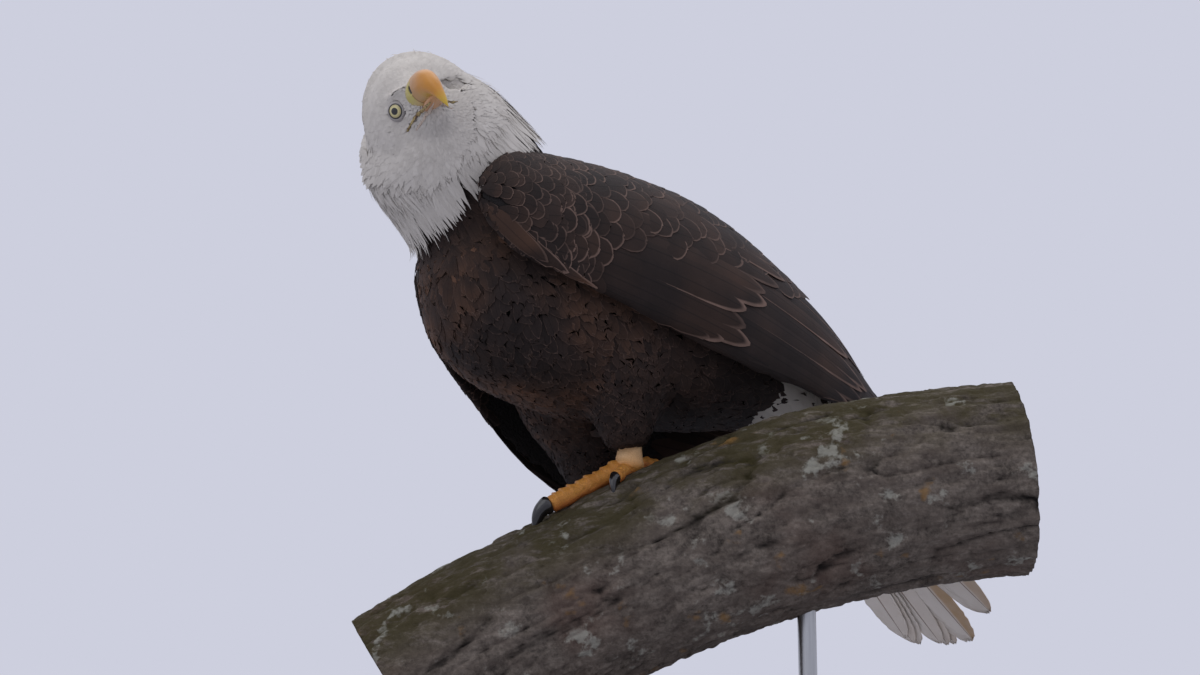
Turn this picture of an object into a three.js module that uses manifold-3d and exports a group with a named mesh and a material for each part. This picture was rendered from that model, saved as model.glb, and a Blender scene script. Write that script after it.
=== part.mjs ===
// A bald eagle at life size, perched on a cut length of thick branch that two rods hold over a base.
// Millimetres, +Z up. The origin is the middle of the base's underside and the branch runs along X.
import * as THREE from 'three';
import { mergeVertices } from 'three/addons/utils/BufferGeometryUtils.js';
import Module from 'manifold-3d';

const wasm = await Module();
wasm.setup();

// ---------- driving dimensions ----------

const GAP = 0.3; // left between two pieces that touch

// The branch: its axis is a parabola, z = PERCH_HEIGHT + PERCH_SLOPE x - PERCH_BEND x^2, and a slow
// wave in both its height and its thickness makes it waver as grown wood does.
const PERCH_RADIUS = 93;
const PERCH_HEIGHT = 341.5;
const PERCH_SLOPE = 0.402;
const PERCH_BEND = 0.0005;
const PERCH_WAVE = 2.2;
const PERCH_WAVE_LENGTH = 394;
const PERCH_WAVE_START = 16;
const PERCH_FROM = -268;
const PERCH_TO = 330;
const PERCH_FLARE = 0.035; // how much thicker its upper end is than its middle

// The stand under it.
const BASE_SIZE = [480, 300, 20];
const ROD_RADIUS = 9;
const ROD_PLACES = [-110, 120];

// The bird's own frame: x forward, y to its left, z up, from the point between its feet.
const BIRD_AT = new THREE.Vector3(-70, 17, 418);
const BIRD_HEADING = 180 + 35; // degrees from +X

// The head's frame: x along the bill, y to its left, z to its crown, from between the eyes.
const HEAD_AT = new THREE.Vector3(-250, -180, 747);
const HEAD_FORWARD = new THREE.Vector3(0.26, -0.965, -0.046);
const HEAD_LEFT = new THREE.Vector3(0.83, 0.199, 0.523);
const EYE_RADIUS = 10.5;
const EYE_SIDE = 20; // from the middle of the head to the middle of an eye
const EYE_BACK = 1.5;
const EYE_LOW = 2.5;

// Where each foot stands on the branch, by its place along the branch's axis and the degrees round it.
const FEET = {
  left: { along: -9, round: 3 },
  right: { along: -44, round: -42 },
};
const TARSUS_RADIUS = 11;
const ANKLE_HEIGHT = 16; // from the ball of the foot up to where the feathers start

// Each toe runs from the foot to an end that is so far along and so many degrees round the branch.
const TOES = {
  left: {
    hind: { along: 32, round: -32, radius: 8.5, claw: 34 },
    inner: { along: -62, round: -12, radius: 8, claw: 32 },
    middle: { along: -80, round: 14, radius: 10, claw: 38 },
    outer: { along: -19, round: 21, radius: 7, claw: 28 },
  },
  right: {
    hind: { along: 34, round: -24, radius: 8.5, claw: 34 },
    inner: { along: -54, round: 10, radius: 8, claw: 32 },
    middle: { along: -68, round: -8, radius: 8.5, claw: 32 },
    outer: { along: -16, round: -32, radius: 7, claw: 26 },
  },
};

// Bodies are lofted through stations, each a centre and the section's half width, height and depth.
const TRUNK = [
  [214, 0, 186, 0, 0, 0],
  [210, 0, 186, 30, 32, 34],
  [199, 0, 187, 54, 56, 62],
  [176, 0, 188, 78, 80, 86],
  [138, 0, 187, 95, 100, 107],
  [85, 0, 184, 104, 112, 119],
  [20, 0, 180, 107, 118, 124],
  [-50, 0, 170, 102, 118, 116],
  [-115, 0, 155, 90, 112, 98],
  [-175, 0, 136, 72, 94, 72],
  [-225, 0, 114, 52, 66, 46],
  [-262, 0, 94, 34, 40, 28],
  [-282, 0, 82, 18, 20, 14],
  [-290, 0, 76, 0, 0, 0],
];
const NECK = [
  [98, 0, 198, 0, 0, 0],
  [104, 0, 205, 46, 46, 46],
  [116, 1, 218, 68, 68, 68],
  [136, 3, 240, 79, 79, 79],
  [158, 4, 262, 81, 81, 81],
  [185, 7, 284, 80, 80, 80],
  [212, 9, 304, 78, 78, 78],
  [236, 12, 318, 70, 70, 70],
  [253, 13, 326, 50, 50, 50],
  [262, 14, 330, 0, 0, 0],
];
const HEAD = [
  [-82, 11, -22, 0, 0, 0],
  [-78, 11, -22, 28, 38, 34],
  [-66, 11, -22, 48, 66, 56],
  [-48, 10, -21, 57, 78, 66],
  [-30, 6, -18, 57, 75, 64],
  [-13, 1, -13, 46, 59, 53],
  [0, 0, -11, 27, 41, 41],
  [12, 0, -9, 21, 30, 32],
  [22, 0, -7, 15, 23, 26],
  [28, 0, -6, 8, 15, 15],
  [30, 0, -6, 0, 0, 0],
];
const BILL_UPPER = [
  [10, 0, -2, 0, 0, 0],
  [12, 0, -2, 13, 12, 12],
  [18, 0, -1, 16, 15.5, 15],
  [28, 0, 0, 15, 16, 16],
  [38, 0, 0, 13, 15.5, 15],
  [47, 0, -1, 10.5, 13, 13],
  [55, 0, -6.5, 8, 9.5, 9.5],
  [60, 0, -14, 5.5, 6, 6.5],
  [63, 0, -23, 3.2, 3.4, 3.6],
  [64.5, 0, -32, 0, 0, 0],
];
const BILL_LOWER = [
  [4, 0, -23, 0, 0, 0],
  [6, 0, -23, 10, 6, 5],
  [14, 0, -22, 14, 10, 8],
  [26, 0, -20, 11.5, 9, 8],
  [37, 0, -18, 8.5, 8, 6.5],
  [46, 0, -16, 5.5, 5, 4.5],
  [51, 0, -14, 3, 2, 2.2],
  [53, 0, -13, 0, 0, 0],
];
const TAIL = [
  [-196, 0, 110, 0, 0, 0],
  [-200, 0, 106, 24, 10, 9],
  [-222, 0, 87, 34, 13, 12],
  [-270, 0, 45, 42, 12, 11],
  [-330, 0, -7, 52, 9, 8],
  [-395, 0, -63, 64, 6, 6],
  [-440, 0, -102, 71, 4, 4],
  [-462, 0, -121, 66, 3, 3],
  [-474, 0, -132, 46, 2.4, 2.4],
  [-479, 0, -136, 0, 0, 0],
];
// A folded wing is a curved blade: at each station its x, the y and z of its upper and lower edge,
// how far it bulges outwards between them, and its thickness.
const WING_LEFT = [
  [219, 92, 236, 92, 236, 0, 0],
  [215, 91, 250, 93, 220, 4, 9],
  [200, 89, 268, 98, 198, 9, 14],
  [174, 84, 286, 106, 177, 14, 17],
  [114, 62, 299, 116, 158, 26, 18],
  [19, 47, 302, 118, 129, 34, 18],
  [-86, 42, 286, 108, 105, 30, 16],
  [-192, 38, 236, 88, 94, 20, 13],
  [-261, 34, 188, 66, 80, 14, 11],
  [-336, 26, 123, 46, 34, 8, 9],
  [-405, 22, 70, 30, 14, 3, 7],
  [-432, 22, 36, 22, 36, 0, 0],
];
const WING_RIGHT = [
  [178, -88, 205, -88, 205, 0, 0],
  [174, -86, 220, -90, 190, 4, 9],
  [162, -82, 240, -98, 165, 9, 14],
  [140, -76, 258, -106, 132, 16, 17],
  [90, -60, 282, -112, 84, 34, 18],
  [24, -50, 292, -114, 26, 46, 18],
  [-60, -44, 280, -110, -12, 48, 17],
  [-152, -42, 244, -98, -18, 38, 15],
  [-240, -38, 192, -82, -12, 20, 12],
  [-330, -28, 122, -66, 14, 8, 9],
  [-400, -24, 62, -36, 4, 3, 7],
  [-430, -24, 24, -24, 24, 0, 0],
];

// ---------- shapes ----------

const UPWARD = new THREE.Vector3(0, 0, 1);
const FORWARD = new THREE.Vector3(1, 0, 0);

// A smooth value at t, 0 to 1, through evenly numbered stations: Catmull and Rom's cubic.
function through(stations, t) {
  const last = stations.length - 1;
  const from = Math.min(Math.floor(t * last), last - 1);
  const f = t * last - from;
  const [a, b, c, d] = [-1, 0, 1, 2].map((step) => stations[THREE.MathUtils.clamp(from + step, 0, last)]);
  return b.map((_, i) => b[i] + 0.5 * f * (c[i] - a[i]
    + f * (2 * a[i] - 5 * b[i] + 4 * c[i] - d[i] + f * (3 * (b[i] - c[i]) + d[i] - a[i]))));
}

// Turns every face outwards where the skin came out inside out.
function faceOut(geometry) {
  const { index, attributes: { position } } = geometry;
  const [a, b, c] = [new THREE.Vector3(), new THREE.Vector3(), new THREE.Vector3()];
  let volume = 0;
  for (let i = 0; i < index.count; i += 3) {
    a.fromBufferAttribute(position, index.getX(i));
    b.fromBufferAttribute(position, index.getX(i + 1));
    c.fromBufferAttribute(position, index.getX(i + 2));
    volume += a.dot(b.cross(c));
  }
  if (volume < 0) index.array.reverse();
  return geometry;
}

// A closed skin: a sphere's grid, with each point moved to place(u round the section, v end to end).
function skin(place, around, lengthwise) {
  const geometry = new THREE.SphereGeometry(1, around, lengthwise);
  const { position, uv } = geometry.attributes;
  for (let i = 0; i < position.count; i += 1) {
    position.setXYZ(i, ...place(uv.getX(i), 1 - uv.getY(i)));
  }
  geometry.deleteAttribute('normal');
  geometry.deleteAttribute('uv');
  return faceOut(mergeVertices(geometry, 1e-3));
}

// A loft: sections square to the path through the stations, with their height turned towards `up`.
function loft(stations, around, lengthwise, up = UPWARD) {
  const centre = (t) => new THREE.Vector3(...through(stations, THREE.MathUtils.clamp(t, 0, 1)));
  const STEP = 0.02;
  return skin((u, v) => {
    const [, , , width, height, depth] = through(stations, v);
    const path = centre(v + STEP).sub(centre(v - STEP)).normalize();
    const side = new THREE.Vector3().crossVectors(up, path).normalize();
    const top = new THREE.Vector3().crossVectors(path, side);
    const angle = 2 * Math.PI * u;
    const rise = Math.sin(angle);
    return centre(v)
      .addScaledVector(side, Math.max(width, 0) * Math.cos(angle))
      .addScaledVector(top, Math.max(rise > 0 ? height : depth, 0) * rise);
  }, around, lengthwise);
}

// A folded wing, from its wrist to its tip: across it, cos runs from edge to edge and sin from face to face.
function wing(stations, around, lengthwise) {
  return skin((u, v) => {
    const [x, upperY, upperZ, lowerY, lowerZ, bulge, thickness] = through(stations, v);
    const chord = new THREE.Vector2(lowerY - upperY, lowerZ - upperZ);
    const outward = new THREE.Vector2(-chord.y, chord.x).multiplyScalar(Math.sign(upperY)).normalize();
    const angle = 2 * Math.PI * u;
    const across = 0.5 - 0.5 * Math.cos(angle);
    const face = Math.sign(Math.sin(angle)) * Math.abs(Math.sin(angle)) ** 0.7;
    const out = bulge * 4 * across * (1 - across) + 0.5 * Math.max(thickness, 0) * face;
    return [
      x,
      upperY + across * chord.x + out * outward.x,
      upperZ + across * chord.y + out * outward.y,
    ];
  }, around, lengthwise);
}

// ---------- joining and cutting ----------

function solid(geometry) {
  return new wasm.Manifold(new wasm.Mesh({
    numProp: 3,
    vertProperties: geometry.attributes.position.array,
    triVerts: new Uint32Array(geometry.index.array),
  }));
}

// The same skin moved out along its normals by the clearance.
function grown(geometry) {
  const copy = geometry.clone();
  copy.computeVertexNormals();
  const { position, normal } = copy.attributes;
  for (let i = 0; i < position.count; i += 1) {
    position.setXYZ(
      i,
      position.getX(i) + GAP * normal.getX(i),
      position.getY(i) + GAP * normal.getY(i),
      position.getZ(i) + GAP * normal.getZ(i),
    );
  }
  return copy;
}

// What is left of a piece outside its neighbours: the largest body, where a cut leaves chips.
function carved(geometry, neighbours) {
  const left = neighbours.reduce((rest, other) => rest.subtract(solid(grown(other))), solid(geometry));
  const bodies = left.decompose();
  const [largest] = bodies.sort((one, other) => other.volume() - one.volume());
  const { vertProperties, triVerts } = largest.getMesh();
  const result = new THREE.BufferGeometry();
  result.setAttribute('position', new THREE.BufferAttribute(vertProperties, 3));
  result.setIndex(new THREE.BufferAttribute(triVerts, 1));
  return result;
}

// ---------- frames ----------

const birdFrame = new THREE.Matrix4()
  .makeRotationZ(THREE.MathUtils.degToRad(BIRD_HEADING))
  .setPosition(BIRD_AT);
const headUp = new THREE.Vector3().crossVectors(HEAD_FORWARD, HEAD_LEFT).normalize();
const headLeft = new THREE.Vector3().crossVectors(headUp, HEAD_FORWARD).normalize();
const headFrame = new THREE.Matrix4()
  .makeBasis(HEAD_FORWARD.clone().normalize(), headLeft, headUp)
  .setPosition(HEAD_AT);

function perchWave(x) {
  return PERCH_WAVE * Math.sin(2 * Math.PI * (x - PERCH_WAVE_START) / PERCH_WAVE_LENGTH);
}

function perchAxis(x) {
  return new THREE.Vector3(x, 0, PERCH_HEIGHT + PERCH_SLOPE * x - PERCH_BEND * x * x + perchWave(x));
}

// A point over the branch: its place along the axis, degrees round towards -Y, and height over the bark.
function overPerch(x, degrees, height) {
  const tangent = perchAxis(x + 1).sub(perchAxis(x - 1));
  const normal = new THREE.Vector3(-tangent.z, 0, tangent.x).normalize();
  const round = THREE.MathUtils.degToRad(degrees);
  const radius = PERCH_RADIUS * (1 + PERCH_FLARE * x / PERCH_TO) + perchWave(x) + height;
  return perchAxis(x)
    .addScaledVector(normal, radius * Math.cos(round))
    .add(new THREE.Vector3(0, -radius * Math.sin(round), 0));
}

// ---------- the pieces, uncut ----------

const perch = skin((u, v) => {
  const END = 0.08; // the first and last rings lie flat in the sawn ends
  const inside = THREE.MathUtils.clamp((v - END) / (1 - 2 * END), 0, 1);
  const x = THREE.MathUtils.lerp(PERCH_FROM, PERCH_TO, inside);
  return v < 0.5 * END || v > 1 - 0.5 * END ? perchAxis(x) : overPerch(x, 360 * u, 0);
}, 20, 12);

const shapes = {
  trunk: loft(TRUNK, 24, 18).applyMatrix4(birdFrame),
  neck: loft(NECK, 20, 12).applyMatrix4(birdFrame),
  head: loft(HEAD, 20, 15).applyMatrix4(headFrame),
  bill_upper: loft(BILL_UPPER, 12, 13).applyMatrix4(headFrame),
  bill_lower: loft(BILL_LOWER, 10, 8).applyMatrix4(headFrame),
  wing_left: wing(WING_LEFT, 18, 18).applyMatrix4(birdFrame),
  wing_right: wing(WING_RIGHT, 18, 18).applyMatrix4(birdFrame),
  tail: loft(TAIL, 14, 12).applyMatrix4(birdFrame),
  perch,
};

for (const [side, sign] of [['left', 1], ['right', -1]]) {
  shapes[`eye_${side}`] = new THREE.SphereGeometry(EYE_RADIUS, 12, 8);
  shapes[`eye_${side}`].deleteAttribute('normal');
  shapes[`eye_${side}`].deleteAttribute('uv');
  shapes[`eye_${side}`] = mergeVertices(shapes[`eye_${side}`], 1e-3)
    .applyMatrix4(new THREE.Matrix4().makeTranslation(-EYE_BACK, sign * EYE_SIDE, -EYE_LOW))
    .applyMatrix4(headFrame);
}

// The ball of a foot, in the bird's frame.
function ball(side) {
  const { along, round } = FEET[side];
  return overPerch(along, round, TARSUS_RADIUS).applyMatrix4(birdFrame.clone().invert());
}

// The feathered upper leg, from inside the flank down to the ankle.
function thigh(side) {
  const { x, y, z } = ball(side);
  const out = Math.sign(y);
  const low = z + ANKLE_HEIGHT;
  return loft([
    [22, out * 48, 152, 0, 0, 0],
    [22, out * 50, 142, 34, 38, 38],
    [20, out * 50, 118, 42, 52, 50],
    [x + 12, y + out * 8, 0.5 * (118 + low) + 8, 38, 46, 42],
    [x + 5, y + out * 3, low + 16, 25, 30, 26],
    [x + 1, y, low + 2, 17, 20, 18],
    [x, y, low - 6, 0, 0, 0],
  ], 14, 10, FORWARD).applyMatrix4(birdFrame);
}

// The bare scaled leg, with the ball of the foot that the toes grow from.
function tarsus(side) {
  const { x, y, z } = ball(side);
  const r = TARSUS_RADIUS;
  return loft([
    [x, y, z + ANKLE_HEIGHT + 17, 0, 0, 0],
    [x, y, z + ANKLE_HEIGHT + 14, r, r, r],
    [x, y, z + ANKLE_HEIGHT, r - 0.5, r, r],
    [x, y, z + 4, r, r + 1.5, r + 1],
    [x, y, z - 3, r + 2, r + 4, r + 2],
    [x, y, z - 9, r - 2, r, r - 2],
    [x, y, z - 12, 0, 0, 0],
  ], 10, 8, FORWARD).applyMatrix4(birdFrame);
}

// A toe over the branch and the claw that hooks down from its end.
function toeAndClaw(foot, toe) {
  const point = (f, height) => overPerch(foot.along + f * toe.along, foot.round + f * toe.round, height);
  const radii = [0, 1, 1.02, 0.92, 1, 0.86, 0.96, 0.8, 0];
  const stations = radii.map((share, i) => {
    const f = THREE.MathUtils.clamp(i / (radii.length - 1), 0.04, 0.98);
    const r = toe.radius * share;
    return [...point(f, 0.95 * toe.radius), r, r, r];
  });
  const end = point(1, 0.95 * toe.radius);
  const up = end.clone().sub(point(1, 0)).normalize();
  const path = end.clone().sub(point(0.9, 0.95 * toe.radius)).normalize();
  const HOOK = 1.8; // radians of arc that a claw bends through
  const bend = toe.claw / HOOK;
  const clawStations = [0, 0.06, 0.2, 0.4, 0.6, 0.8, 0.94, 1].map((f) => {
    const angle = HOOK * f;
    const r = f === 0 || f === 1 ? 0 : toe.radius * 0.8 * (1 - f) ** 0.7;
    const at = end.clone()
      .addScaledVector(path, bend * Math.sin(angle) - 1)
      .addScaledVector(up, bend * (Math.cos(angle) - 1) + 1);
    return [...at, 0.8 * r, r, r];
  });
  return [loft(stations, 8, 9, up), loft(clawStations, 6, 7, path.clone().cross(up).cross(path))];
}

for (const side of ['left', 'right']) {
  shapes[`thigh_${side}`] = thigh(side);
  shapes[`tarsus_${side}`] = tarsus(side);
  for (const [name, toe] of Object.entries(TOES[side])) {
    const [toeShape, clawShape] = toeAndClaw(FEET[side], toe);
    shapes[`toe_${side}_${name}`] = toeShape;
    shapes[`claw_${side}_${name}`] = clawShape;
  }
}

const [baseLength, baseWidth, baseHeight] = BASE_SIZE;
const base = new THREE.BoxGeometry(baseLength, baseWidth, baseHeight);
base.translate(0, 0, 0.5 * baseHeight);
base.deleteAttribute('normal');
base.deleteAttribute('uv');
shapes.stand_base = mergeVertices(base, 1e-3);

ROD_PLACES.forEach((x, i) => {
  const top = perchAxis(x).z;
  const foot = baseHeight + GAP;
  const rod = new THREE.CylinderGeometry(ROD_RADIUS, ROD_RADIUS, top - foot, 20);
  rod.rotateX(0.5 * Math.PI);
  rod.translate(x, 0, 0.5 * (top + foot));
  rod.deleteAttribute('normal');
  rod.deleteAttribute('uv');
  shapes[`stand_rod_${i + 1}`] = mergeVertices(rod, 1e-3);
});

// ---------- who gives way to whom ----------

const cuts = {
  neck: ['trunk', 'head', 'eye_left', 'wing_left', 'wing_right'],
  head: ['bill_upper', 'bill_lower', 'eye_left', 'eye_right'],
  bill_lower: ['bill_upper'],
  wing_left: ['trunk'],
  wing_right: ['trunk'],
  tail: ['trunk', 'wing_left', 'wing_right', 'perch'],
  stand_rod_1: ['perch'],
  stand_rod_2: ['perch'],
};
for (const side of ['left', 'right']) {
  const toes = Object.keys(TOES[side]);
  cuts[`thigh_${side}`] = ['trunk', `wing_${side}`, 'perch'];
  cuts[`tarsus_${side}`] = [`thigh_${side}`, 'perch'];
  toes.forEach((name, i) => {
    const before = toes.slice(0, i).map((other) => `toe_${side}_${other}`);
    cuts[`toe_${side}_${name}`] = [`tarsus_${side}`, 'perch', ...before];
    cuts[`claw_${side}_${name}`] = [`toe_${side}_${name}`, 'perch'];
  });
}

// ---------- colours ----------

const looks = {
  plumage: { color: 0x2b2422, roughness: 0.85 },
  white: { color: 0xd9d7d2, roughness: 0.85 },
  bill: { color: 0xd08a28, roughness: 0.4 },
  skin: { color: 0xd8a040, roughness: 0.6 },
  claw: { color: 0x14131a, roughness: 0.25 },
  eye: { color: 0xd8cf94, roughness: 0.1 },
  bark: { color: 0x6b665c, roughness: 0.95 },
  base: { color: 0x2a2a2c, roughness: 0.5 },
  rod: { color: 0xa9abae, roughness: 0.35, metalness: 1 },
};
const lookOf = {
  trunk: 'plumage',
  neck: 'white',
  head: 'white',
  tail: 'white',
  wing: 'plumage',
  thigh: 'plumage',
  bill: 'bill',
  tarsus: 'skin',
  toe: 'skin',
  claw: 'claw',
  eye: 'eye',
  perch: 'bark',
  stand_base: 'base',
  stand_rod: 'rod',
};

const eagle = new THREE.Group();
for (const [name, shape] of Object.entries(shapes)) {
  const neighbours = (cuts[name] ?? []).map((other) => shapes[other]);
  const geometry = neighbours.length ? carved(shape, neighbours) : shape;
  const kind = Object.keys(lookOf).find((word) => name.startsWith(word));
  const mesh = new THREE.Mesh(geometry, new THREE.MeshStandardMaterial(looks[lookOf[kind]]));
  mesh.name = name;
  eagle.add(mesh);
}

export default eagle;
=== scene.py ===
import math
from functools import partial

import bpy
import numpy as np
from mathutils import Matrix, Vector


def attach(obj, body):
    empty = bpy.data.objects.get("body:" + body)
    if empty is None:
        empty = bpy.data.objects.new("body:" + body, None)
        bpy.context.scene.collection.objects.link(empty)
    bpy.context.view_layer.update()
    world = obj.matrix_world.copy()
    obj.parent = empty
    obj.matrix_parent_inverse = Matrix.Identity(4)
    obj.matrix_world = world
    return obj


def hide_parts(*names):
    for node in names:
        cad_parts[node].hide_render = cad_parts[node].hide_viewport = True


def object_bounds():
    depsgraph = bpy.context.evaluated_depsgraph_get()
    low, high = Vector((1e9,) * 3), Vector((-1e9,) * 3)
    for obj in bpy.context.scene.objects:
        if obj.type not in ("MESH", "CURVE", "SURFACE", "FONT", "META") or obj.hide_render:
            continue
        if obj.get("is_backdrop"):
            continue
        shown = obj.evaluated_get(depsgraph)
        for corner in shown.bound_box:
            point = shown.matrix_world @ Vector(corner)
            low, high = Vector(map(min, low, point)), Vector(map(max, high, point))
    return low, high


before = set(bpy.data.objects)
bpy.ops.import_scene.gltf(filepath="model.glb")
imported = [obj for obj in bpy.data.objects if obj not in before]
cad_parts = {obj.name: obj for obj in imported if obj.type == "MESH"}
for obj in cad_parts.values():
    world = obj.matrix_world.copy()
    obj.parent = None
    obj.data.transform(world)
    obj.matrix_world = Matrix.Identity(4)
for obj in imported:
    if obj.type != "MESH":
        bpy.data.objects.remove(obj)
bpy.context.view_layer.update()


# ---------- the camera and the studio ----------
# A pale floor under an even grey sky, brighter overhead than below, as on an overcast day.
# The camera stands low beside the stand and looks up at the bird.

lens = bpy.data.cameras.new("lens")
lens.lens = 63
lens.sensor_width = 36
lens.clip_end = 50
camera = bpy.data.objects.new("camera", lens)
camera.location = (-0.08, -2.0376, 0.052)
camera.rotation_euler = (math.radians(90 + 14), 0, 0)
bpy.context.collection.objects.link(camera)
bpy.context.scene.camera = camera
bpy.context.scene.view_settings.view_transform = "Standard"


def linear(level):
    """Linear light for one channel's level on a screen, both from 0 to 1."""
    return level / 12.92 if level <= 0.04045 else ((level + 0.055) / 1.055) ** 2.4


class Wire:
    """One value in a material's nodes. Sums written on it in Python become Math nodes."""

    def __init__(self, tree, socket):
        self.tree = tree
        self.socket = socket

    def node(self, kind, settings=None, inputs=None, out=0):
        """A new node: its settings first, then the values or wires of its sockets."""
        new = self.tree.nodes.new(kind)
        for key, value in (settings or {}).items():
            setattr(new, key, value)
        for key, value in (inputs or {}).items():
            if isinstance(value, Wire):
                self.tree.links.new(value.socket, new.inputs[key])
            else:
                new.inputs[key].default_value = value
        return Wire(self.tree, new.outputs[out])

    def maths(self, operation, *values):
        return self.node("ShaderNodeMath", {"operation": operation}, dict(enumerate(values)))

    def sine(self):
        return self.maths("SINE", self)

    def size(self):
        return self.maths("ABSOLUTE", self)

    def __add__(self, other):
        return self.maths("ADD", self, other)

    def __sub__(self, other):
        return self.maths("SUBTRACT", self, other)

    def __rsub__(self, other):
        return self.maths("SUBTRACT", other, self)

    def __mul__(self, other):
        return self.maths("MULTIPLY", self, other)

    def __truediv__(self, other):
        return self.maths("DIVIDE", self, other)

    def __pow__(self, other):
        return self.maths("POWER", self, other)

    __radd__ = __add__
    __rmul__ = __mul__

    def between(self, low, high):
        """0 below the low value, 1 above the high one, and smooth in between."""
        inputs = {"Value": self, "From Min": low, "From Max": high}
        return self.node("ShaderNodeMapRange", {"interpolation_type": "SMOOTHSTEP"}, inputs)

    def below(self, low, high):
        """1 below the low value, 0 above the high one, and smooth in between."""
        return 1.0 - self.between(low, high)

    def blend(self, first, second):
        """The first colour where this wire is 0, the second where it is 1. A colour is a wire, or
        red, green and blue from 0 to 255 as on a screen, which go in as linear light."""
        inputs = {0: self}
        for key, colour in ((6, first), (7, second)):
            inputs[key] = colour if isinstance(colour, Wire) else (*(linear(c / 255) for c in colour), 1)
        return self.node("ShaderNodeMix", {"data_type": "RGBA"}, inputs, out=2)

    def axes(self):
        """The three numbers of a vector."""
        first = self.node("ShaderNodeSeparateXYZ", None, {0: self})
        outputs = first.socket.node.outputs
        return [Wire(self.tree, outputs[i]) for i in range(3)]


class Finish(Wire):
    """A material with one principled surface. Its constants are set on the surface's own sockets."""

    def __init__(self, name, **constants):
        self.material = bpy.data.materials.new(name)
        self.material.use_nodes = True
        nodes = self.material.node_tree.nodes
        self.surface = nodes["Principled BSDF"]
        super().__init__(self.material.node_tree, None)
        for key, value in constants.items():
            self.surface.inputs[key.replace("_", " ")].default_value = value

    def place(self):
        """Where a point is on the object, in metres."""
        return self.node("ShaderNodeTexCoord", out=3)

    def mapped(self, name):
        """Where a point is on one of the piece's own UV maps, as a vector."""
        return self.node("ShaderNodeUVMap", {"uv_map": name})

    def attribute(self, name):
        return self.node("ShaderNodeAttribute", {"attribute_name": name}, out=2)

    def noise(self, scale, detail=2.0, rough=0.5, over=None):
        """Clouds from 0 to 1, over the object or over another vector. Three scales draw them out."""
        over = over or self.place()
        if isinstance(scale, tuple):
            over, scale = self.node("ShaderNodeMapping", None, {"Vector": over, "Scale": scale}), 1.0
        inputs = {"Vector": over, "Scale": scale, "Detail": detail, "Roughness": rough}
        return self.node("ShaderNodeTexNoise", None, inputs)

    def wear(self, colour=None, roughness=None, bump=None, depth=0.001, strength=1.0):
        """Joins the varying colour, roughness and relief to the surface."""
        sockets = self.surface.inputs
        if colour is not None:
            self.tree.links.new(colour.socket, sockets["Base Color"])
        if roughness is not None:
            self.tree.links.new(roughness.socket, sockets["Roughness"])
        if bump is not None:
            inputs = {"Height": bump, "Distance": depth, "Strength": strength}
            relief = self.node("ShaderNodeBump", None, inputs)
            self.tree.links.new(relief.socket, sockets["Normal"])
        return self.material


def piece(name, points, faces, material, uvs=None, values=None):
    """A mesh from points in millimetres and arrays of faces, of three or four corners each.

    Its UV maps and its values have a row for each point. Where a map wraps round from 1 to 0, the
    faces that cross the seam run on past 1."""
    mesh = bpy.data.meshes.new(name)
    mesh.from_pydata((points * 0.001).tolist(), [], [face for part in faces for face in part.tolist()])
    mesh.polygons.foreach_set("use_smooth", [True] * len(mesh.polygons))
    for key, flat in (uvs or {}).items():
        corners = []
        for part in faces:
            spots = flat[part].astype(np.float32)
            crossing = np.ptp(spots[..., 0], axis=1) > 0.5
            spots[..., 0] += crossing[:, None] & (spots[..., 0] < 0.5)
            corners.append(spots.reshape(-1, 2))
        mesh.uv_layers.new(name=key).uv.foreach_set("vector", np.concatenate(corners).ravel())
    for key, value in (values or {}).items():
        mesh.attributes.new(key, "FLOAT", "POINT").data.foreach_set("value", value.astype(np.float32))
    mesh.materials.append(material)
    made = bpy.data.objects.new(name, mesh)
    bpy.context.collection.objects.link(made)
    return made


def fixed(made, slot, *nodes):
    """A finished piece: it rides on the whole object and takes its nodes' place; the slot is not used."""
    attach(made, "root")
    if nodes:
        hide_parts(*nodes)
    return made


floor_finish = Finish("floor_paper", Roughness=0.9)
floor_tone = floor_finish.noise(3.0)
floor = piece(
    "floor",
    np.array([[-9000, -9000, -0.5], [9000, -9000, -0.5], [9000, 9000, -0.5], [-9000, 9000, -0.5]]),
    [np.array([[0, 1, 2, 3]])],
    floor_finish.wear(floor_tone.blend((176, 177, 184), (186, 187, 193))),
)
floor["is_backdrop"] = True

sky = bpy.data.worlds.new("sky")
sky.use_nodes = True
sky_light = sky.node_tree.nodes["Background"]
sky_up = Wire(sky.node_tree, None).node("ShaderNodeTexCoord").axes()[2]
sky_tone = sky_up.between(0.45, 0.95).blend((205, 207, 222), (238, 239, 248))
sky.node_tree.links.new(sky_tone.socket, sky_light.inputs["Color"])
sky_light.inputs["Strength"].default_value = 1.0
bpy.context.scene.world = sky

for light_name, place, aim, size, power in (
    ("overhead", (-0.4, 0.2, 3.2), (0, 0, 0), 3.0, 15),
    ("front_fill", (-1.6, -2.6, 2.2), (math.radians(52), 0, math.radians(-32)), 2.2, 10),
):
    panel = bpy.data.lights.new(light_name, "AREA")
    panel.size = size
    panel.energy = power
    lamp = bpy.data.objects.new(light_name, panel)
    lamp.location = place
    lamp.rotation_euler = aim
    bpy.context.collection.objects.link(lamp)


# ---------- the skin ----------
# One closed skin for everything that is flesh: trunk, neck, head, wings, tail stub and thighs.
# Each body is lofted through stations in millimetres, drawn in by the depth of its coat and joined.

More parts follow.
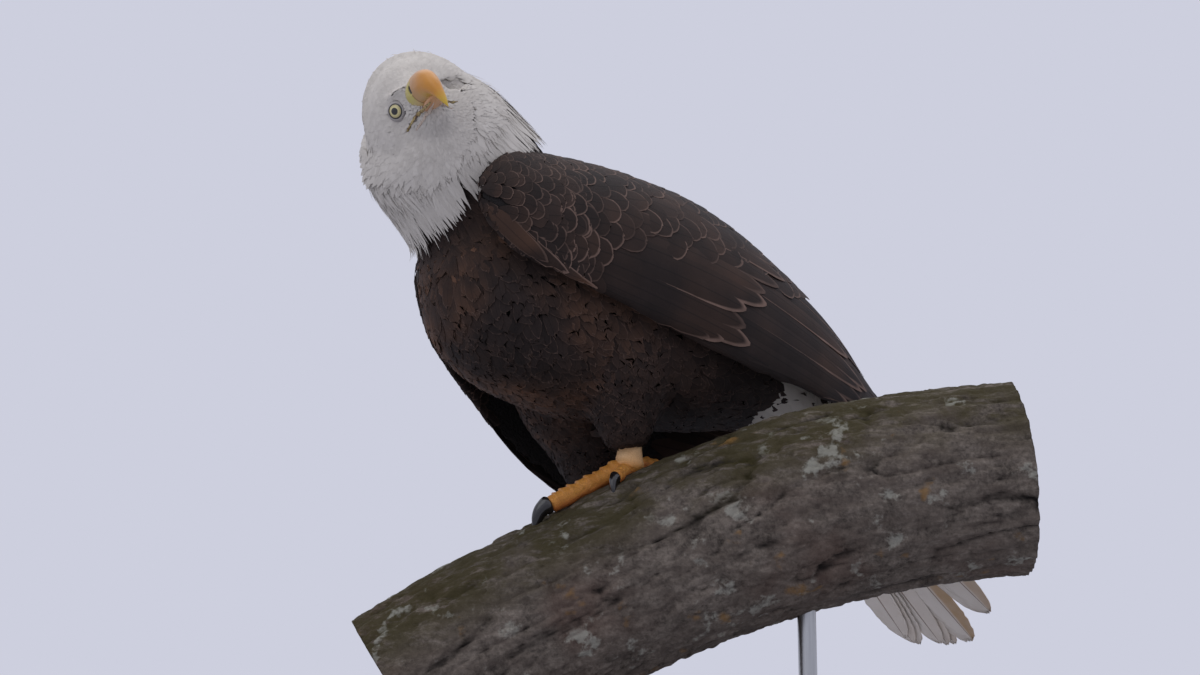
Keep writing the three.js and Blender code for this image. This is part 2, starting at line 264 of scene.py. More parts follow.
TRUNK = [
    (214, 0, 186, 0, 0, 0), (210, 0, 186, 30, 32, 34), (199, 0, 187, 54, 56, 62),
    (176, 0, 188, 78, 80, 86), (138, 0, 187, 95, 100, 107), (85, 0, 184, 104, 112, 119),
    (20, 0, 180, 107, 118, 124), (-50, 0, 170, 102, 118, 116), (-115, 0, 155, 90, 112, 98),
    (-175, 0, 136, 72, 94, 72), (-225, 0, 114, 52, 66, 46), (-262, 0, 94, 34, 40, 28),
    (-282, 0, 82, 18, 20, 14), (-290, 0, 76, 0, 0, 0),
]
NECK = [
    (98, 0, 198, 0, 0, 0), (104, 0, 205, 46, 46, 46), (116, 1, 218, 68, 68, 68),
    (136, 3, 240, 79, 79, 79), (158, 4, 262, 81, 81, 81), (185, 7, 284, 80, 80, 80),
    (212, 9, 304, 78, 78, 78), (236, 12, 318, 70, 70, 70), (253, 13, 326, 50, 50, 50),
    (262, 14, 330, 0, 0, 0),
]
HEAD = [
    (-82, 11, -22, 0, 0, 0), (-78, 11, -22, 28, 38, 34), (-66, 11, -22, 48, 66, 56),
    (-48, 10, -21, 57, 78, 66), (-30, 6, -18, 57, 75, 64), (-13, 1, -13, 46, 59, 53),
    (0, 0, -11, 27, 41, 41), (12, 0, -9, 21, 30, 32), (22, 0, -7, 15, 23, 26),
    (28, 0, -6, 8, 15, 15), (30, 0, -6, 0, 0, 0),
]
TAIL = [
    (-196, 0, 110, 0, 0, 0), (-200, 0, 106, 24, 10, 9), (-222, 0, 87, 34, 13, 12),
    (-270, 0, 45, 42, 12, 11), (-330, 0, -7, 52, 9, 8), (-395, 0, -63, 64, 6, 6),
    (-440, 0, -102, 71, 4, 4), (-462, 0, -121, 66, 3, 3), (-474, 0, -132, 46, 2.4, 2.4),
    (-479, 0, -136, 0, 0, 0),
]
WING_LEFT = [
    (219, 92, 236, 92, 236, 0, 0), (215, 91, 250, 93, 220, 4, 9), (200, 89, 268, 98, 198, 9, 14),
    (174, 84, 286, 106, 177, 14, 17), (114, 62, 299, 116, 158, 26, 18), (19, 47, 302, 118, 129, 34, 18),
    (-86, 42, 286, 108, 105, 30, 16), (-192, 38, 236, 88, 94, 20, 13), (-261, 34, 188, 66, 80, 14, 11),
    (-336, 26, 123, 46, 34, 8, 9), (-405, 22, 70, 30, 14, 3, 7), (-432, 22, 36, 22, 35, 0, 0),
]
WING_RIGHT = [
    (178, -88, 205, -88, 205, 0, 0), (174, -86, 220, -90, 190, 4, 9), (162, -82, 240, -98, 165, 9, 14),
    (140, -76, 258, -106, 132, 16, 17), (90, -60, 282, -112, 84, 34, 18), (24, -50, 292, -114, 26, 46, 18),
    (-60, -44, 280, -110, -12, 48, 17), (-152, -42, 244, -98, -18, 38, 15), (-240, -38, 192, -82, -12, 20, 12),
    (-330, -28, 122, -66, 14, 8, 9), (-400, -24, 62, -36, 4, 3, 7), (-430, -24, 24, -24, 23, 0, 0),
]


def unit(vectors):
    return vectors / (np.linalg.norm(vectors, axis=-1, keepdims=True) + 1e-12)


def through(stations, t):
    """Values at t, 0 to 1, through evenly numbered stations: Catmull and Rom's cubic."""
    stations = np.asarray(stations, dtype=float)
    last = len(stations) - 1
    t = np.clip(t, 0, 1) * last
    start = np.minimum(np.floor(t).astype(int), last - 1)
    f = (t - start)[..., None]
    a, b, c, d = (stations[np.clip(start + step, 0, last)] for step in (-1, 0, 1, 2))
    return b + 0.5 * f * (c - a + f * (2 * a - 5 * b + 4 * c - d + f * (3 * (b - c) + d - a)))


def lofted(stations, up=(0, 0, 1)):
    """A surface of u round and v along: ellipses square to the path, wide by cos u and high by sin u."""
    def surface(u, v):
        row = through(stations, v)
        path = unit(through(stations, v + 0.02)[..., :3] - through(stations, v - 0.02)[..., :3])
        side = unit(np.cross(up, path))
        top = np.cross(path, side)
        angle = 2 * np.pi * u
        rise = np.sin(angle)
        tall = np.where(rise > 0, row[..., 4], row[..., 5])
        wide = np.maximum(row[..., 3], 0) * np.cos(angle)
        return row[..., :3] + side * wide[..., None] + top * (np.maximum(tall, 0) * rise)[..., None]
    return surface


def folded(stations):
    """A folded wing's surface: cos u runs from its upper to its lower edge, sin u is its outer face."""
    def surface(u, v):
        x, upper_y, upper_z, lower_y, lower_z, bulge, thick = np.moveaxis(through(stations, v), -1, 0)
        chord = np.stack([lower_y - upper_y, lower_z - upper_z], -1)
        outward = unit(np.stack([-chord[..., 1], chord[..., 0]], -1) * np.sign(upper_y)[..., None])
        angle = 2 * np.pi * u
        across = 0.5 - 0.5 * np.cos(angle)
        face = np.sign(np.sin(angle)) * np.abs(np.sin(angle)) ** 0.7
        out = bulge * 4 * across * (1 - across) + 0.5 * np.maximum(thick, 0) * face
        flat = np.stack([upper_y, upper_z], -1) + across[..., None] * chord + out[..., None] * outward
        return np.stack([x, flat[..., 0], flat[..., 1]], -1)
    return surface


def set_in(turn, place):
    """Millimetres in a part's own frame to millimetres in the object's."""
    turn = np.asarray(turn, dtype=float)
    return lambda points: points @ turn.T + np.asarray(place, dtype=float)


def turned_by(put, ways):
    """Directions in a part's own frame as directions in the object's."""
    return put(ways) - put(np.zeros(3))


# The bird's own frame: x ahead, y to its left, z up, with its heading and its place on the stand.
HEADING = math.radians(215)
BIRD_AT = np.array([-70, 17, 418])
bird_turn = np.array([
    [math.cos(HEADING), -math.sin(HEADING), 0], [math.sin(HEADING), math.cos(HEADING), 0], [0, 0, 1],
])
on_bird = set_in(bird_turn, BIRD_AT)


def to_bird(points):
    """Millimetres in the object's frame to millimetres in the bird's own."""
    return (points - BIRD_AT) @ bird_turn


head_ahead = unit(np.array([0.26, -0.965, -0.046]))
head_up = unit(np.cross(head_ahead, (0.83, 0.199, 0.523)))
head_left = np.cross(head_up, head_ahead)
on_head = set_in(np.stack([head_ahead, head_left, head_up], 1), (-250, -180, 747))


def tube_faces(rings, around):
    """Faces between rings of points that follow one another, closed at each end on a last point."""
    grid = np.arange(rings * around).reshape(rings, around)
    turned = np.roll(grid, -1, 1)
    sides = np.stack([grid[:-1], turned[:-1], turned[1:], grid[1:]], -1).reshape(-1, 4)
    caps = np.concatenate([
        np.stack([np.full(around, grid.size), turned[0], grid[0]], -1),
        np.stack([np.full(around, grid.size + 1), grid[-1], turned[-1]], -1),
    ])
    return [sides, caps]


def faced_out(points, faces):
    """The faces of a closed form, turned over if they look inwards."""
    corner = points[faces[0][:, :3]] - points.mean(0)
    if np.einsum("ij,ij->i", corner[:, 0], np.cross(corner[:, 1], corner[:, 2])).sum() < 0:
        return [part[:, ::-1] for part in faces]
    return faces


def shell(surface, around, along, inset=0.0):
    """A closed grid over a surface, drawn in along its normals; its two ends close on a point.

    Returns its points, its faces, and each point's u and v. The inset may be a function of u, v
    and the points."""
    v, u = np.meshgrid(np.linspace(0.0, 1, along), np.arange(around) / around, indexing="ij")
    inner = np.clip(v, 0.004, 0.996)
    points = surface(u, inner)
    across = surface(u + 0.002, inner) - surface(u - 0.002, inner)
    ahead = surface(u, inner + 0.002) - surface(u, inner - 0.002)
    normal = unit(np.cross(across, ahead))
    if ((points - points.mean((0, 1))) * normal).sum() < 0:
        normal = -normal
    depth = inset(u, v, points) if callable(inset) else np.full(u.shape, inset)
    points = points - depth[..., None] * normal
    ends = [points[0].mean(0), points[-1].mean(0)]
    points = np.concatenate([points[1:-1].reshape(-1, 3), ends])
    maps = np.stack([u[1:-1].ravel(), v[1:-1].ravel()], 1)
    maps = np.concatenate([maps, [[0.5, 0], [0.5, 1]]])
    return points, faced_out(points, tube_faces(along - 2, around)), maps


def branch_wave(x):
    """A slow wave along the branch, in its axis and in its girth."""
    return 2.2 * np.sin(2 * np.pi * (x - 16) / 394)


def branch_axis(x):
    """The middle of the branch at x: a parabola that rises to the right, with the slow wave."""
    return np.stack([x, 0 * x, 341.5 + 0.402 * x - 0.0005 * x * x + branch_wave(x)], -1)


BRANCH_RADIUS = 93


def over_branch(x, degrees, height):
    """A point over the bark: its place along, degrees round towards the front, height over it."""
    x, degrees, height = np.broadcast_arrays(*(np.asarray(a, dtype=float) for a in (x, degrees, height)))
    path = branch_axis(x + 1) - branch_axis(x - 1)
    normal = unit(np.stack([-path[..., 2], 0 * x, path[..., 0]], -1))
    turn = np.radians(degrees)
    radius = BRANCH_RADIUS * (1 + 0.035 * x / 330) + branch_wave(x) + height
    side = np.stack([0 * x, -radius * np.sin(turn), 0 * x], -1)
    return branch_axis(x) + normal * (radius * np.cos(turn))[..., None] + side


# Where the ball of each foot stands: along the branch, and degrees round it towards the front.
SIDES = {"left": 1, "right": -1}
FEET = {"left": (-9, 3), "right": (-44, -42)}
THIGH_FULLNESS = {"left": 1.0, "right": 1.22}
balls = {side: to_bird(over_branch(*foot, 11)) for side, foot in FEET.items()}


def thigh_stations(side):
    """A thigh's stations, from deep in the trunk to just over the ball of its foot."""
    x, y, z = balls[side]
    out = math.copysign(1, y)
    low = z + 16
    full = THIGH_FULLNESS[side]
    return [
        (22, out * 48, 152, 0, 0, 0), (22, out * 50, 142, full * 34, full * 38, full * 38),
        (20, out * 50, 118, full * 42, full * 52, full * 50),
        (x + 12, y + out * 8, 0.5 * (118 + low) + 8, full * 38, full * 46, full * 42),
        (x + 5, y + out * 3, low + 16, 25, 30, 26), (x + 1, y, low + 2, 17, 20, 18), (x, y, low - 6, 0, 0, 0),
    ]


trunk = lofted(TRUNK)
neck = lofted(NECK)
head = lofted(HEAD)
tail_stub = lofted(TAIL[:4] + [(-300, 0, 19, 34, 9, 8), (-322, 0, 0, 24, 6, 6), (-330, 0, -7, 0, 0, 0)])
thighs = {side: lofted(thigh_stations(side), (1, 0, 0)) for side in SIDES}
wings = {"left": folded(WING_LEFT), "right": folded(WING_RIGHT)}


def joined(name, shells, voxel, rounds):
    """The shells as one closed mesh of even squares, smoothed so that no crease shows."""
    points = [part_points for part_points, _ in shells]
    starts = np.cumsum([0] + [len(part_points) for part_points in points])
    faces = [faces + start for (_, parts), start in zip(shells, starts) for faces in parts]
    loose = piece(name + "_loose", np.concatenate(points), faces, None)
    remesh = loose.modifiers.new("one", "REMESH")
    remesh.mode = "VOXEL"
    remesh.voxel_size = voxel
    smoothing = loose.modifiers.new("soften", "SMOOTH")
    smoothing.iterations = rounds
    smoothing.factor = 0.5
    solid = bpy.data.meshes.new_from_object(loose.evaluated_get(bpy.context.evaluated_depsgraph_get()))
    bpy.data.objects.remove(loose)
    solid.name = name
    whole = bpy.data.objects.new(name, solid)
    bpy.context.collection.objects.link(whole)
    return whole


def brow(side):
    """The ridge over an eye, from behind it to the bill."""
    out = SIDES[side]
    return lofted([
        (-20, out * 24, 9, 0, 0, 0), (-17, out * 24, 10, 3, 2, 3), (-4, out * 23.5, 12, 4.5, 3.2, 3.8),
        (8, out * 18.5, 12, 4.5, 3.2, 3.2), (18, out * 11.5, 10, 3.5, 3, 3), (25, out * 8, 8, 1.5, 1.5, 1.5),
        (27, out * 7.5, 8, 0, 0, 0),
    ])


def socket(side):
    """The low dome round an eye: a sphere, u round it and v from its top to its foot."""
    centre = np.array([-3.0, 18.5 * SIDES[side], -2.5])
    def surface(u, v):
        turn, tilt = 2 * np.pi * u, np.pi * v
        ring = np.stack([np.sin(tilt) * np.cos(turn), np.sin(tilt) * np.sin(turn), np.cos(tilt)], -1)
        return centre + 11.0 * ring
    return surface


# Each eye's centre and gaze in the head's frame, the ball's radius and the radius of the hollow
# that holds it. The slope round the hollow is 2.2 wide and rises by 15.
EYE_BALL = 10.5
EYE_HOLLOW = {"left": 7.2, "right": 8.8}
SLOPE, SLOPE_RISE = 2.2, 15
eye_centres = {"left": np.array([-8.0, 20.0, -2.5]), "right": np.array([-2.0, -22.0, -2.5])}
gazes = {"left": unit(np.array([0.36, 0.93, 0.04])), "right": unit(np.array([0.72, -0.69, 0.02]))}


def from_eye(points, side):
    """How far points lie out along an eye's gaze, and how far off its line."""
    gaze = turned_by(on_head, gazes[side])
    off = points - on_head(eye_centres[side])
    out = off @ gaze
    return out, np.linalg.norm(off - out[..., None] * gaze, axis=-1)


def spots_of(mesh):
    """A mesh's vertices as an array, in metres."""
    spots = np.empty(len(mesh.vertices) * 3, dtype=np.float32)
    mesh.vertices.foreach_get("co", spots)
    return spots.reshape(-1, 3)


def hollowed(whole, floor_height):
    """Sinks a mesh round each eye to a floor square to the gaze, with a slope round it."""
    spots = spots_of(whole.data) * 1000.0
    for side in SIDES:
        out, wide = from_eye(spots, side)
        rise = np.clip((wide - EYE_HOLLOW[side]) / SLOPE, 0, 1)
        limit = floor_height + SLOPE_RISE * rise * rise * (3 - 2 * rise)
        over = np.where((out > limit) & (wide < EYE_HOLLOW[side] + SLOPE), out - limit, 0)
        spots = spots - over[:, None] * turned_by(on_head, gazes[side])
    whole.data.vertices.foreach_set("co", (spots * 0.001).astype(np.float32).ravel())
    whole.data.update()


def placed_shell(surface, around, along, put, inset):
    points, faces, _ = shell(surface, around, along, inset)
    return put(points), faces


def core(*insets):
    """The trunk, neck, head and tail stub as shells, each drawn in by its own depth."""
    bodies = (
        (trunk, 96, 64, on_bird), (neck, 72, 40, on_bird), (head, 96, 80, on_head), (tail_stub, 40, 40, on_bird),
    )
    return [placed_shell(*body, inset) for body, inset in zip(bodies, insets)]


flesh = core(8, 7, 2.0, 4)
for side in SIDES:
    flesh += [
        placed_shell(thighs[side], 48, 40, on_bird, 6), placed_shell(wings[side], 96, 96, on_bird, 3),
        placed_shell(brow(side), 24, 30, on_head, 1.5), placed_shell(socket(side), 40, 24, on_head, 1.5),
    ]
skin = joined("skin", flesh, 0.0037, 4)
hollowed(skin, 3.5)

COLLAR = 0.53
collar_at = on_bird(through(NECK, np.array(COLLAR))[:3])
collar_way = unit(on_bird(through(NECK, np.array(COLLAR + 0.05))[:3]) - collar_at)
collar_way = unit(collar_way + turned_by(on_bird, np.array([0, -0.28, 0.2])))


def over_collar(points):
    """How far points lie beyond the ring where the white neck ends, towards the head."""
    return (points - collar_at) @ collar_way


# The skin is white under the hackles, on the head and under the tail, and dark elsewhere.
on_spots = spots_of(skin.data) * 1000.0
behind = to_bird(on_spots)
white = np.zeros(len(on_spots), dtype=np.float32)
white[(over_collar(on_spots) > 6) & (abs(behind[:, 1] - 12) < 48)] = 1
white[np.linalg.norm(on_spots - on_head(np.array([-30, 5, -18])), axis=1) < 90] = 1
white[(behind[:, 0] < -185) & (behind[:, 2] < 118 + 0.6 * (behind[:, 0] + 190)) & (abs(behind[:, 1]) < 60)] = 1
skin.data.attributes.new("white", "FLOAT", "POINT").data.foreach_set("value", white)
skin_finish = Finish("feather_bed", Roughness=0.9)
skin_grain = skin_finish.noise(260.0)
skin_tone = skin_finish.attribute("white").blend((24, 19, 18), (196, 190, 182))
skin.data.materials.clear()
skin.data.materials.append(skin_finish.wear(skin_tone, bump=skin_grain, depth=0.002))
skin.data.polygons.foreach_set("use_smooth", [True] * len(skin.data.polygons))
fixed(
    skin, "dark_feathers", "trunk", "neck", "head", "wing_left", "wing_right", "tail", "thigh_left", "thigh_right",
)


# ---------- the vanes ----------
# Every feather is a closed thin vane, rooted in the skin and lying back along the body.
# Vanes are laid flat at their roots, then brought down to the coat's outer form, each a little
# higher at its tip than at its root, so that the rows overlap like slates.

form = joined("form", [
    *core(0, 0, 0, 2), *(placed_shell(thighs[side], 48, 40, on_bird, 0) for side in SIDES),
    *(placed_shell(brow(side), 24, 30, on_head, 0) for side in SIDES),
    *(placed_shell(socket(side), 40, 24, on_head, 0) for side in SIDES),
], 0.003, 8)
hollowed(form, 4.5)
wing_forms = {
    side: joined(f"wing_form_{side}", [placed_shell(wings[side], 96, 96, on_bird, 0.5)], 0.0035, 4)
    for side in SIDES
}


def settled(points, onto):
    """The nearest point of a form to each point, in millimetres, and the way out of the form there:
    each point is laid on the form and again 2 mm above it."""
    cloud = bpy.data.meshes.new("cloud")
    cloud.vertices.add(len(points))
    cloud.vertices.foreach_set("co", (points * 0.001).astype(np.float32).ravel())
    holder = bpy.data.objects.new("cloud", cloud)
    bpy.context.collection.objects.link(holder)
    wrap = holder.modifiers.new("wrap", "SHRINKWRAP")
    wrap.target = onto
    wrap.wrap_mode = "ABOVE_SURFACE"
    found = []
    for offset in (0.0, 0.002):
        wrap.offset = offset
        evaluated = holder.evaluated_get(bpy.context.evaluated_depsgraph_get())
        found.append(spots_of(evaluated.data) * 1000.0)
    bpy.data.objects.remove(holder)
    bpy.data.meshes.remove(cloud)
    return found[0], unit(found[1] - found[0])


def rows(surface, first, last, step, gap, seed):
    """Roots in staggered rows from v first to v last: rows a step apart, roots a gap apart, in mm.

    Step and gap are pairs, their values at the first and the last row. Rows are spaced for the side
    where they lie widest apart, and thinned by chance where they crowd."""
    chance = np.random.default_rng(seed)
    ring = np.arange(72) / 72
    found = []
    v = first
    way = math.copysign(1, last - first)
    odd = 0
    while (last - v) * way > 0:
        share = (v - first) / (last - first)
        here = surface(ring, np.full(72, v))
        girth = np.linalg.norm(here - np.roll(here, 1, 0), axis=1).sum()
        slopes = np.linalg.norm(surface(ring, np.full(72, v + 0.004)) - here, axis=1) / 0.004
        slope = slopes.max()
        count = max(5, round(girth / (gap[0] + (gap[1] - gap[0]) * share)))
        u = (np.arange(count) + 0.5 * odd + chance.uniform(-0.16, 0.16, count)) / count
        pace = (step[0] + (step[1] - step[0]) * share) / slope
        row = np.stack([u % 1, v + chance.uniform(-0.2, 0.2, count) * pace], 1)
        found.append(row[chance.uniform(0, 1, count) < np.interp(u % 1, ring, slopes, period=1) / slope])
        v += way * min(pace, 0.08)
        odd = 1 - odd
    return np.concatenate(found).T


def bed_of(surface, put, u, v, way=1):
    """Where feathers root: places at u and v on a surface, the way along it there, towards higher v
    or lower, the way out of it, and u and v."""
    def crossing(u, v):
        ahead = surface(u, v + 0.004) - surface(u, v - 0.004)
        return ahead, np.cross(surface(u + 0.002, v) - surface(u - 0.002, v), ahead)

    wide_v, wide_u = np.meshgrid(np.linspace(0.03, 0.97, 40), np.arange(40) / 40, indexing="ij")
    wide = surface(wide_u, wide_v)
    outside = np.sign(((wide - wide.mean((0, 1))) * crossing(wide_u, wide_v)[1]).sum())
    ahead, out = crossing(u, v)
    ahead, out = way * unit(turned_by(put, ahead)), outside * unit(turned_by(put, out))
    return put(surface(u, v)), ahead, out, np.stack([u, v], 1)


def picked(bed, keep):
    return [part[keep] for part in bed]


VANE_SHAPES = {
    "rounded": ([0, 0.15, 0.35, 0.6, 0.78, 0.9, 0.97, 1], [0.25, 0.7, 0.95, 1, 0.92, 0.7, 0.42, 0.16]),
    "pointed": ([0, 0.15, 0.35, 0.6, 0.8, 0.92, 1], [0.3, 0.85, 1, 0.82, 0.48, 0.22, 0.04]),
    "strap": ([0, 0.1, 0.3, 0.75, 0.88, 0.96, 1], [0.3, 0.75, 0.95, 1, 0.85, 0.5, 0.14]),
}
# Where the cross rows of points lie along a vane: for body feathers, for coverts and for quills.
BODY_ALONG = (0, 0.3, 0.6, 0.85, 1)
COVERT_ALONG = (0, 0.3, 0.6, 0.78, 0.9, 0.97, 1)
QUILL_ALONG = (0, 0.15, 0.3, 0.45, 0.6, 0.75, 0.87, 0.95, 1)
# Roots deeper than this under the form are left out. The whole of a vane maps into a patch this
# wide of its coat's OFBake map, where its root lies.
ROOTS_DEEPEST = 11
BAKE_PATCH = 0.003


def plumage(
    name, bed, length, width, seed, material, onto, slot="dark_feathers", shape="rounded", columns=3,
    along=(0, 0.3, 0.6, 0.8, 0.93, 1), low=-3.0, high=0.5, camber=0.03, roll=0.25, scatter=0.1,
    ragged=0.0, fray=0.0, thick=0.3, edge=None, lift=6.0, soft=0.75, warm=0.1, loose=0.4,
):
    """One coat piece: a closed vane from each root, apart from roots too deep under the form.

    Across a vane b runs from -1 to 1 and along it a from 0 to 1. A vane's half width follows its
    shape's profile; its height over the form runs from low at the root to high at the tip, plus
    camber in the middle and roll from edge to edge, and each tip is raised or sunk by up to loose.
    Its underside is thick lower inside the rim. Scatter turns the vanes, ragged roughens their edges
    and fray their tips. Light falls on them mostly as on the form below, by the share soft, as on
    one soft coat. Lengths and heights are in millimetres."""
    roots, ahead, out, places = bed
    chance = np.random.default_rng(seed)
    b, a = np.linspace(-1, 1, columns), np.array(along)
    top = np.arange(len(a) * columns).reshape(len(a), columns)
    under = top.copy()
    under[1:-1, 1:-1] = top.size + np.arange((len(a) - 2) * (columns - 2)).reshape(len(a) - 2, -1)
    faces = np.concatenate([
        np.stack([top[:-1, :-1], top[:-1, 1:], top[1:, 1:], top[1:, :-1]], -1).reshape(-1, 4),
        np.stack([under[:-1, :-1], under[1:, :-1], under[1:, 1:], under[:-1, 1:]], -1).reshape(-1, 4),
    ])
    a_grid, b_grid = np.meshgrid(a, b, indexing="ij")
    a_all = np.concatenate([a_grid.ravel(), a_grid[1:-1, 1:-1].ravel()])
    b_all = np.concatenate([b_grid.ravel(), b_grid[1:-1, 1:-1].ravel()])
    beneath = np.concatenate([np.zeros(top.size), np.ones(len(a_all) - top.size)])
    half = np.interp(a_all, *VANE_SHAPES[shape])

    deep_roots = roots
    roots, way_out = settled(roots + lift * out, onto)
    held = np.linalg.norm(roots - deep_roots, axis=1) < ROOTS_DEEPEST
    count = held.sum()
    roots, way_out, ahead, places = roots[held], way_out[held], ahead[held], places[held]
    length, width, low, high, warm = (
        np.broadcast_to(value, len(held))[held] for value in (length, width, low, high, warm)
    )
    yaw = chance.normal(0, scatter, count)[:, None]
    ahead = unit(ahead - way_out * (ahead * way_out).sum(1, keepdims=True))
    across = np.cross(ahead, way_out)
    ahead, across = ahead * np.cos(yaw) + across * np.sin(yaw), across * np.cos(yaw) - ahead * np.sin(yaw)
    length = length * chance.uniform(0.86, 1.12, count)
    width = width * chance.uniform(0.9, 1.1, count)
    sway = chance.normal(0, 0.5, count) * scatter
    breadth = half * b_all * (1 + ragged * chance.uniform(-1, 1, (count, len(b_all))))
    column = np.rint((b_all + 1) * (columns - 1) / 2).astype(int)
    split = 1 - fray * chance.uniform(0, 1, (count, columns))[:, column]
    reach = a_all * (1 - (1 - split) * a_all ** 3)
    sideways = 0.5 * width[:, None] * breadth + (sway * length)[:, None] * a_all ** 2
    flat = (
        roots[:, None] + ahead[:, None] * (length[:, None] * reach)[..., None]
        + across[:, None] * sideways[..., None] + way_out[:, None] * lift
    ).reshape(-1, 3)
    near, out = settled(flat, onto)
    tip = high + loose * chance.uniform(-0.8, 1.2, count)
    rise = low[:, None] + (tip - low)[:, None] * a_all ** 1.3
    rise = rise + camber * (1 - b_all ** 2) * half * width[:, None] + roll * b_all * half
    rise = rise - thick * beneath
    points = near + out * rise.reshape(-1, 1)

    vane_map = np.stack(np.broadcast_arrays(0.5 + 0.5 * half * b_all, a_all), -1)
    vane_map = np.broadcast_to(vane_map, (count, *vane_map.shape)).reshape(-1, 2)
    bake_map = np.repeat(places * (1 - BAKE_PATCH), len(a_all), 0) + BAKE_PATCH * vane_map
    values = {"tone": np.repeat(chance.uniform(0, 1, count), len(a_all))}
    if edge is not None:
        edge = np.broadcast_to(edge, len(held))[held]
        values["edge"] = np.repeat(edge * chance.uniform(0, 1, count) ** 0.7, len(a_all))
        values["warm"] = np.repeat(warm, len(a_all))
    all_faces = (faces + (np.arange(count) * len(a_all))[:, None, None]).reshape(-1, 4)
    made = piece(name, points, [all_faces], material, {"vane": vane_map, "OFBake": bake_map}, values)
    corner = points[all_faces]
    faced = unit(np.cross(corner[:, 2] - corner[:, 0], corner[:, 3] - corner[:, 1]))
    tops = (len(a) - 1) * (columns - 1)
    side = np.tile(np.where(np.arange(len(faces)) < tops, 1.0, -1.0), count)
    shading = unit(soft * side[:, None, None] * out[all_faces] + (1 - soft) * faced[:, None])
    made.data.normals_split_custom_set(shading.reshape(-1, 3))
    fixed(made, slot)


def barbed(finish, lengthwise, crosswise):
    """Across and along a vane, how far off its shaft from 0 to 1, and fine barbs slanting over it."""
    across, along, _ = finish.mapped("vane").axes()
    off = (across - 0.5).size() * 2.0
    return across, along, off, (along * lengthwise - off * crosswise).sine()


# Dark vanes are near black-brown with a paler, worn rim; white ones are clean, shaded at the root.
dark_vane = Finish("dark_vane", Roughness=0.72, Specular_IOR_Level=0.22)
_, along_vane, off_shaft, barbs = barbed(dark_vane, 260.0, 80.0)
past_middle = (along_vane - 0.6).maths("MAXIMUM", along_vane - 0.6, 0.0) / 0.4
to_rim = (off_shaft * off_shaft + past_middle * past_middle) ** 0.5
dark_cloud = dark_vane.noise(34.0, 5.0, 0.62)
broad_cloud = dark_vane.noise(9.0, 2.0)
vane_tone = dark_vane.attribute("tone")
rim = to_rim.between(0.86, 0.97) * dark_vane.attribute("edge") * (0.1 + 1.2 * dark_cloud)
rim = rim.maths("MINIMUM", rim, 1.0)
warmth = (0.4 + 0.6 * vane_tone) * broad_cloud.between(0.40, 0.62) * dark_vane.attribute("warm")
warmth = warmth * (0.35 + 0.65 * along_vane.between(0.3, 0.9))
body_tone = (0.5 * vane_tone + 0.8 * dark_cloud - 0.15 + 0.04 * barbs).blend((22, 17, 16), (53, 42, 38))
warmed = (0.9 * warmth).blend(body_tone, (108, 76, 56))
shaft = off_shaft.below(0.03, 0.08)
shafted = (0.35 * shaft).blend(warmed, (14, 11, 11))
dark_vane_finish = dark_vane.wear(
    rim.blend(shafted, (130, 106, 94)), bump=barbs * 0.6 + shaft * 2.0, depth=0.00005, strength=0.5,
)

white_vane = Finish("white_vane", Roughness=0.85, Specular_IOR_Level=0.15)
_, along_white, _, white_barbs = barbed(white_vane, 120.0, 40.0)
white_cloud = white_vane.noise(55.0, 3.0)
white_tone = (0.5 * white_vane.attribute("tone") + 0.5 * white_cloud + 0.06 * white_barbs).blend(
    (190, 184, 175), (217, 211, 202),
)
root_shade = along_white.below(0.1, 0.5) * 0.15
white_vane_finish = white_vane.wear(root_shade.blend(white_tone, (172, 167, 162)))


# ---------- the eyes ----------
# Each eye is a ball set under the brow and turned forward, with a pale yellow iris and a clear,
# wet surface. A thin dark lid rings it.

def gaze_axes(side):
    """The way an eye looks, with a level way and an upward way square to it."""
    gaze = gazes[side]
    level = unit(np.cross((0, 0, 1), gaze))
    return gaze, level, np.cross(gaze, level)


def eyeball(side):
    """A sphere about the gaze: v is the angle off it, from 0 at the pupil to 180 degrees behind."""
    gaze, level, high = gaze_axes(side)
    def surface(u, v):
        turn, tilt = (2 * np.pi * u)[..., None], (np.pi * v)[..., None]
        ring = np.cos(turn) * level + np.sin(turn) * high
        return eye_centres[side] + EYE_BALL * (np.cos(tilt) * gaze + np.sin(tilt) * ring)
    return surface


def eyelid(side):
    """A ring round the gaze. Round the ring is u; v goes round its section, a flattened lip that
    starts on the ball, rises over its edge and runs down into the face."""
    gaze, level, high = gaze_axes(side)
    lip = np.array([
        (6.6, 6.9), (6.9, 7.9), (7.6, 8.3), (8.5, 7.9), (9.6, 6.2), (11.0, 3.4), (11.4, 0.0), (9.0, 1.0),
        (7.0, 4.0), (6.6, 6.9),
    ])
    def surface(u, v):
        wide, out = np.moveaxis(through(lip, v), -1, 0)
        turn = 2 * np.pi * u
        droop = 1 - 0.05 * np.maximum(np.sin(turn), 0)
        ring = np.cos(turn)[..., None] * level + (np.sin(turn) * droop)[..., None] * high
        return eye_centres[side] + out[..., None] * gaze + wide[..., None] * ring
    return surface


def hoop(surface, around, along):
    """A closed ring: a grid that joins up both ways."""
    v, u = np.meshgrid(np.arange(along) / along, np.arange(around) / around, indexing="ij")
    grid = np.arange(u.size).reshape(u.shape)
    turned, ahead = np.roll(grid, -1, 1), np.roll(grid, -1, 0)
    faces = np.stack([grid, turned, np.roll(ahead, -1, 1), ahead], -1).reshape(-1, 4)
    points = surface(u, v).reshape(-1, 3)
    return points, faced_out(points, [faces]), np.stack([u.ravel(), v.ravel()], 1)


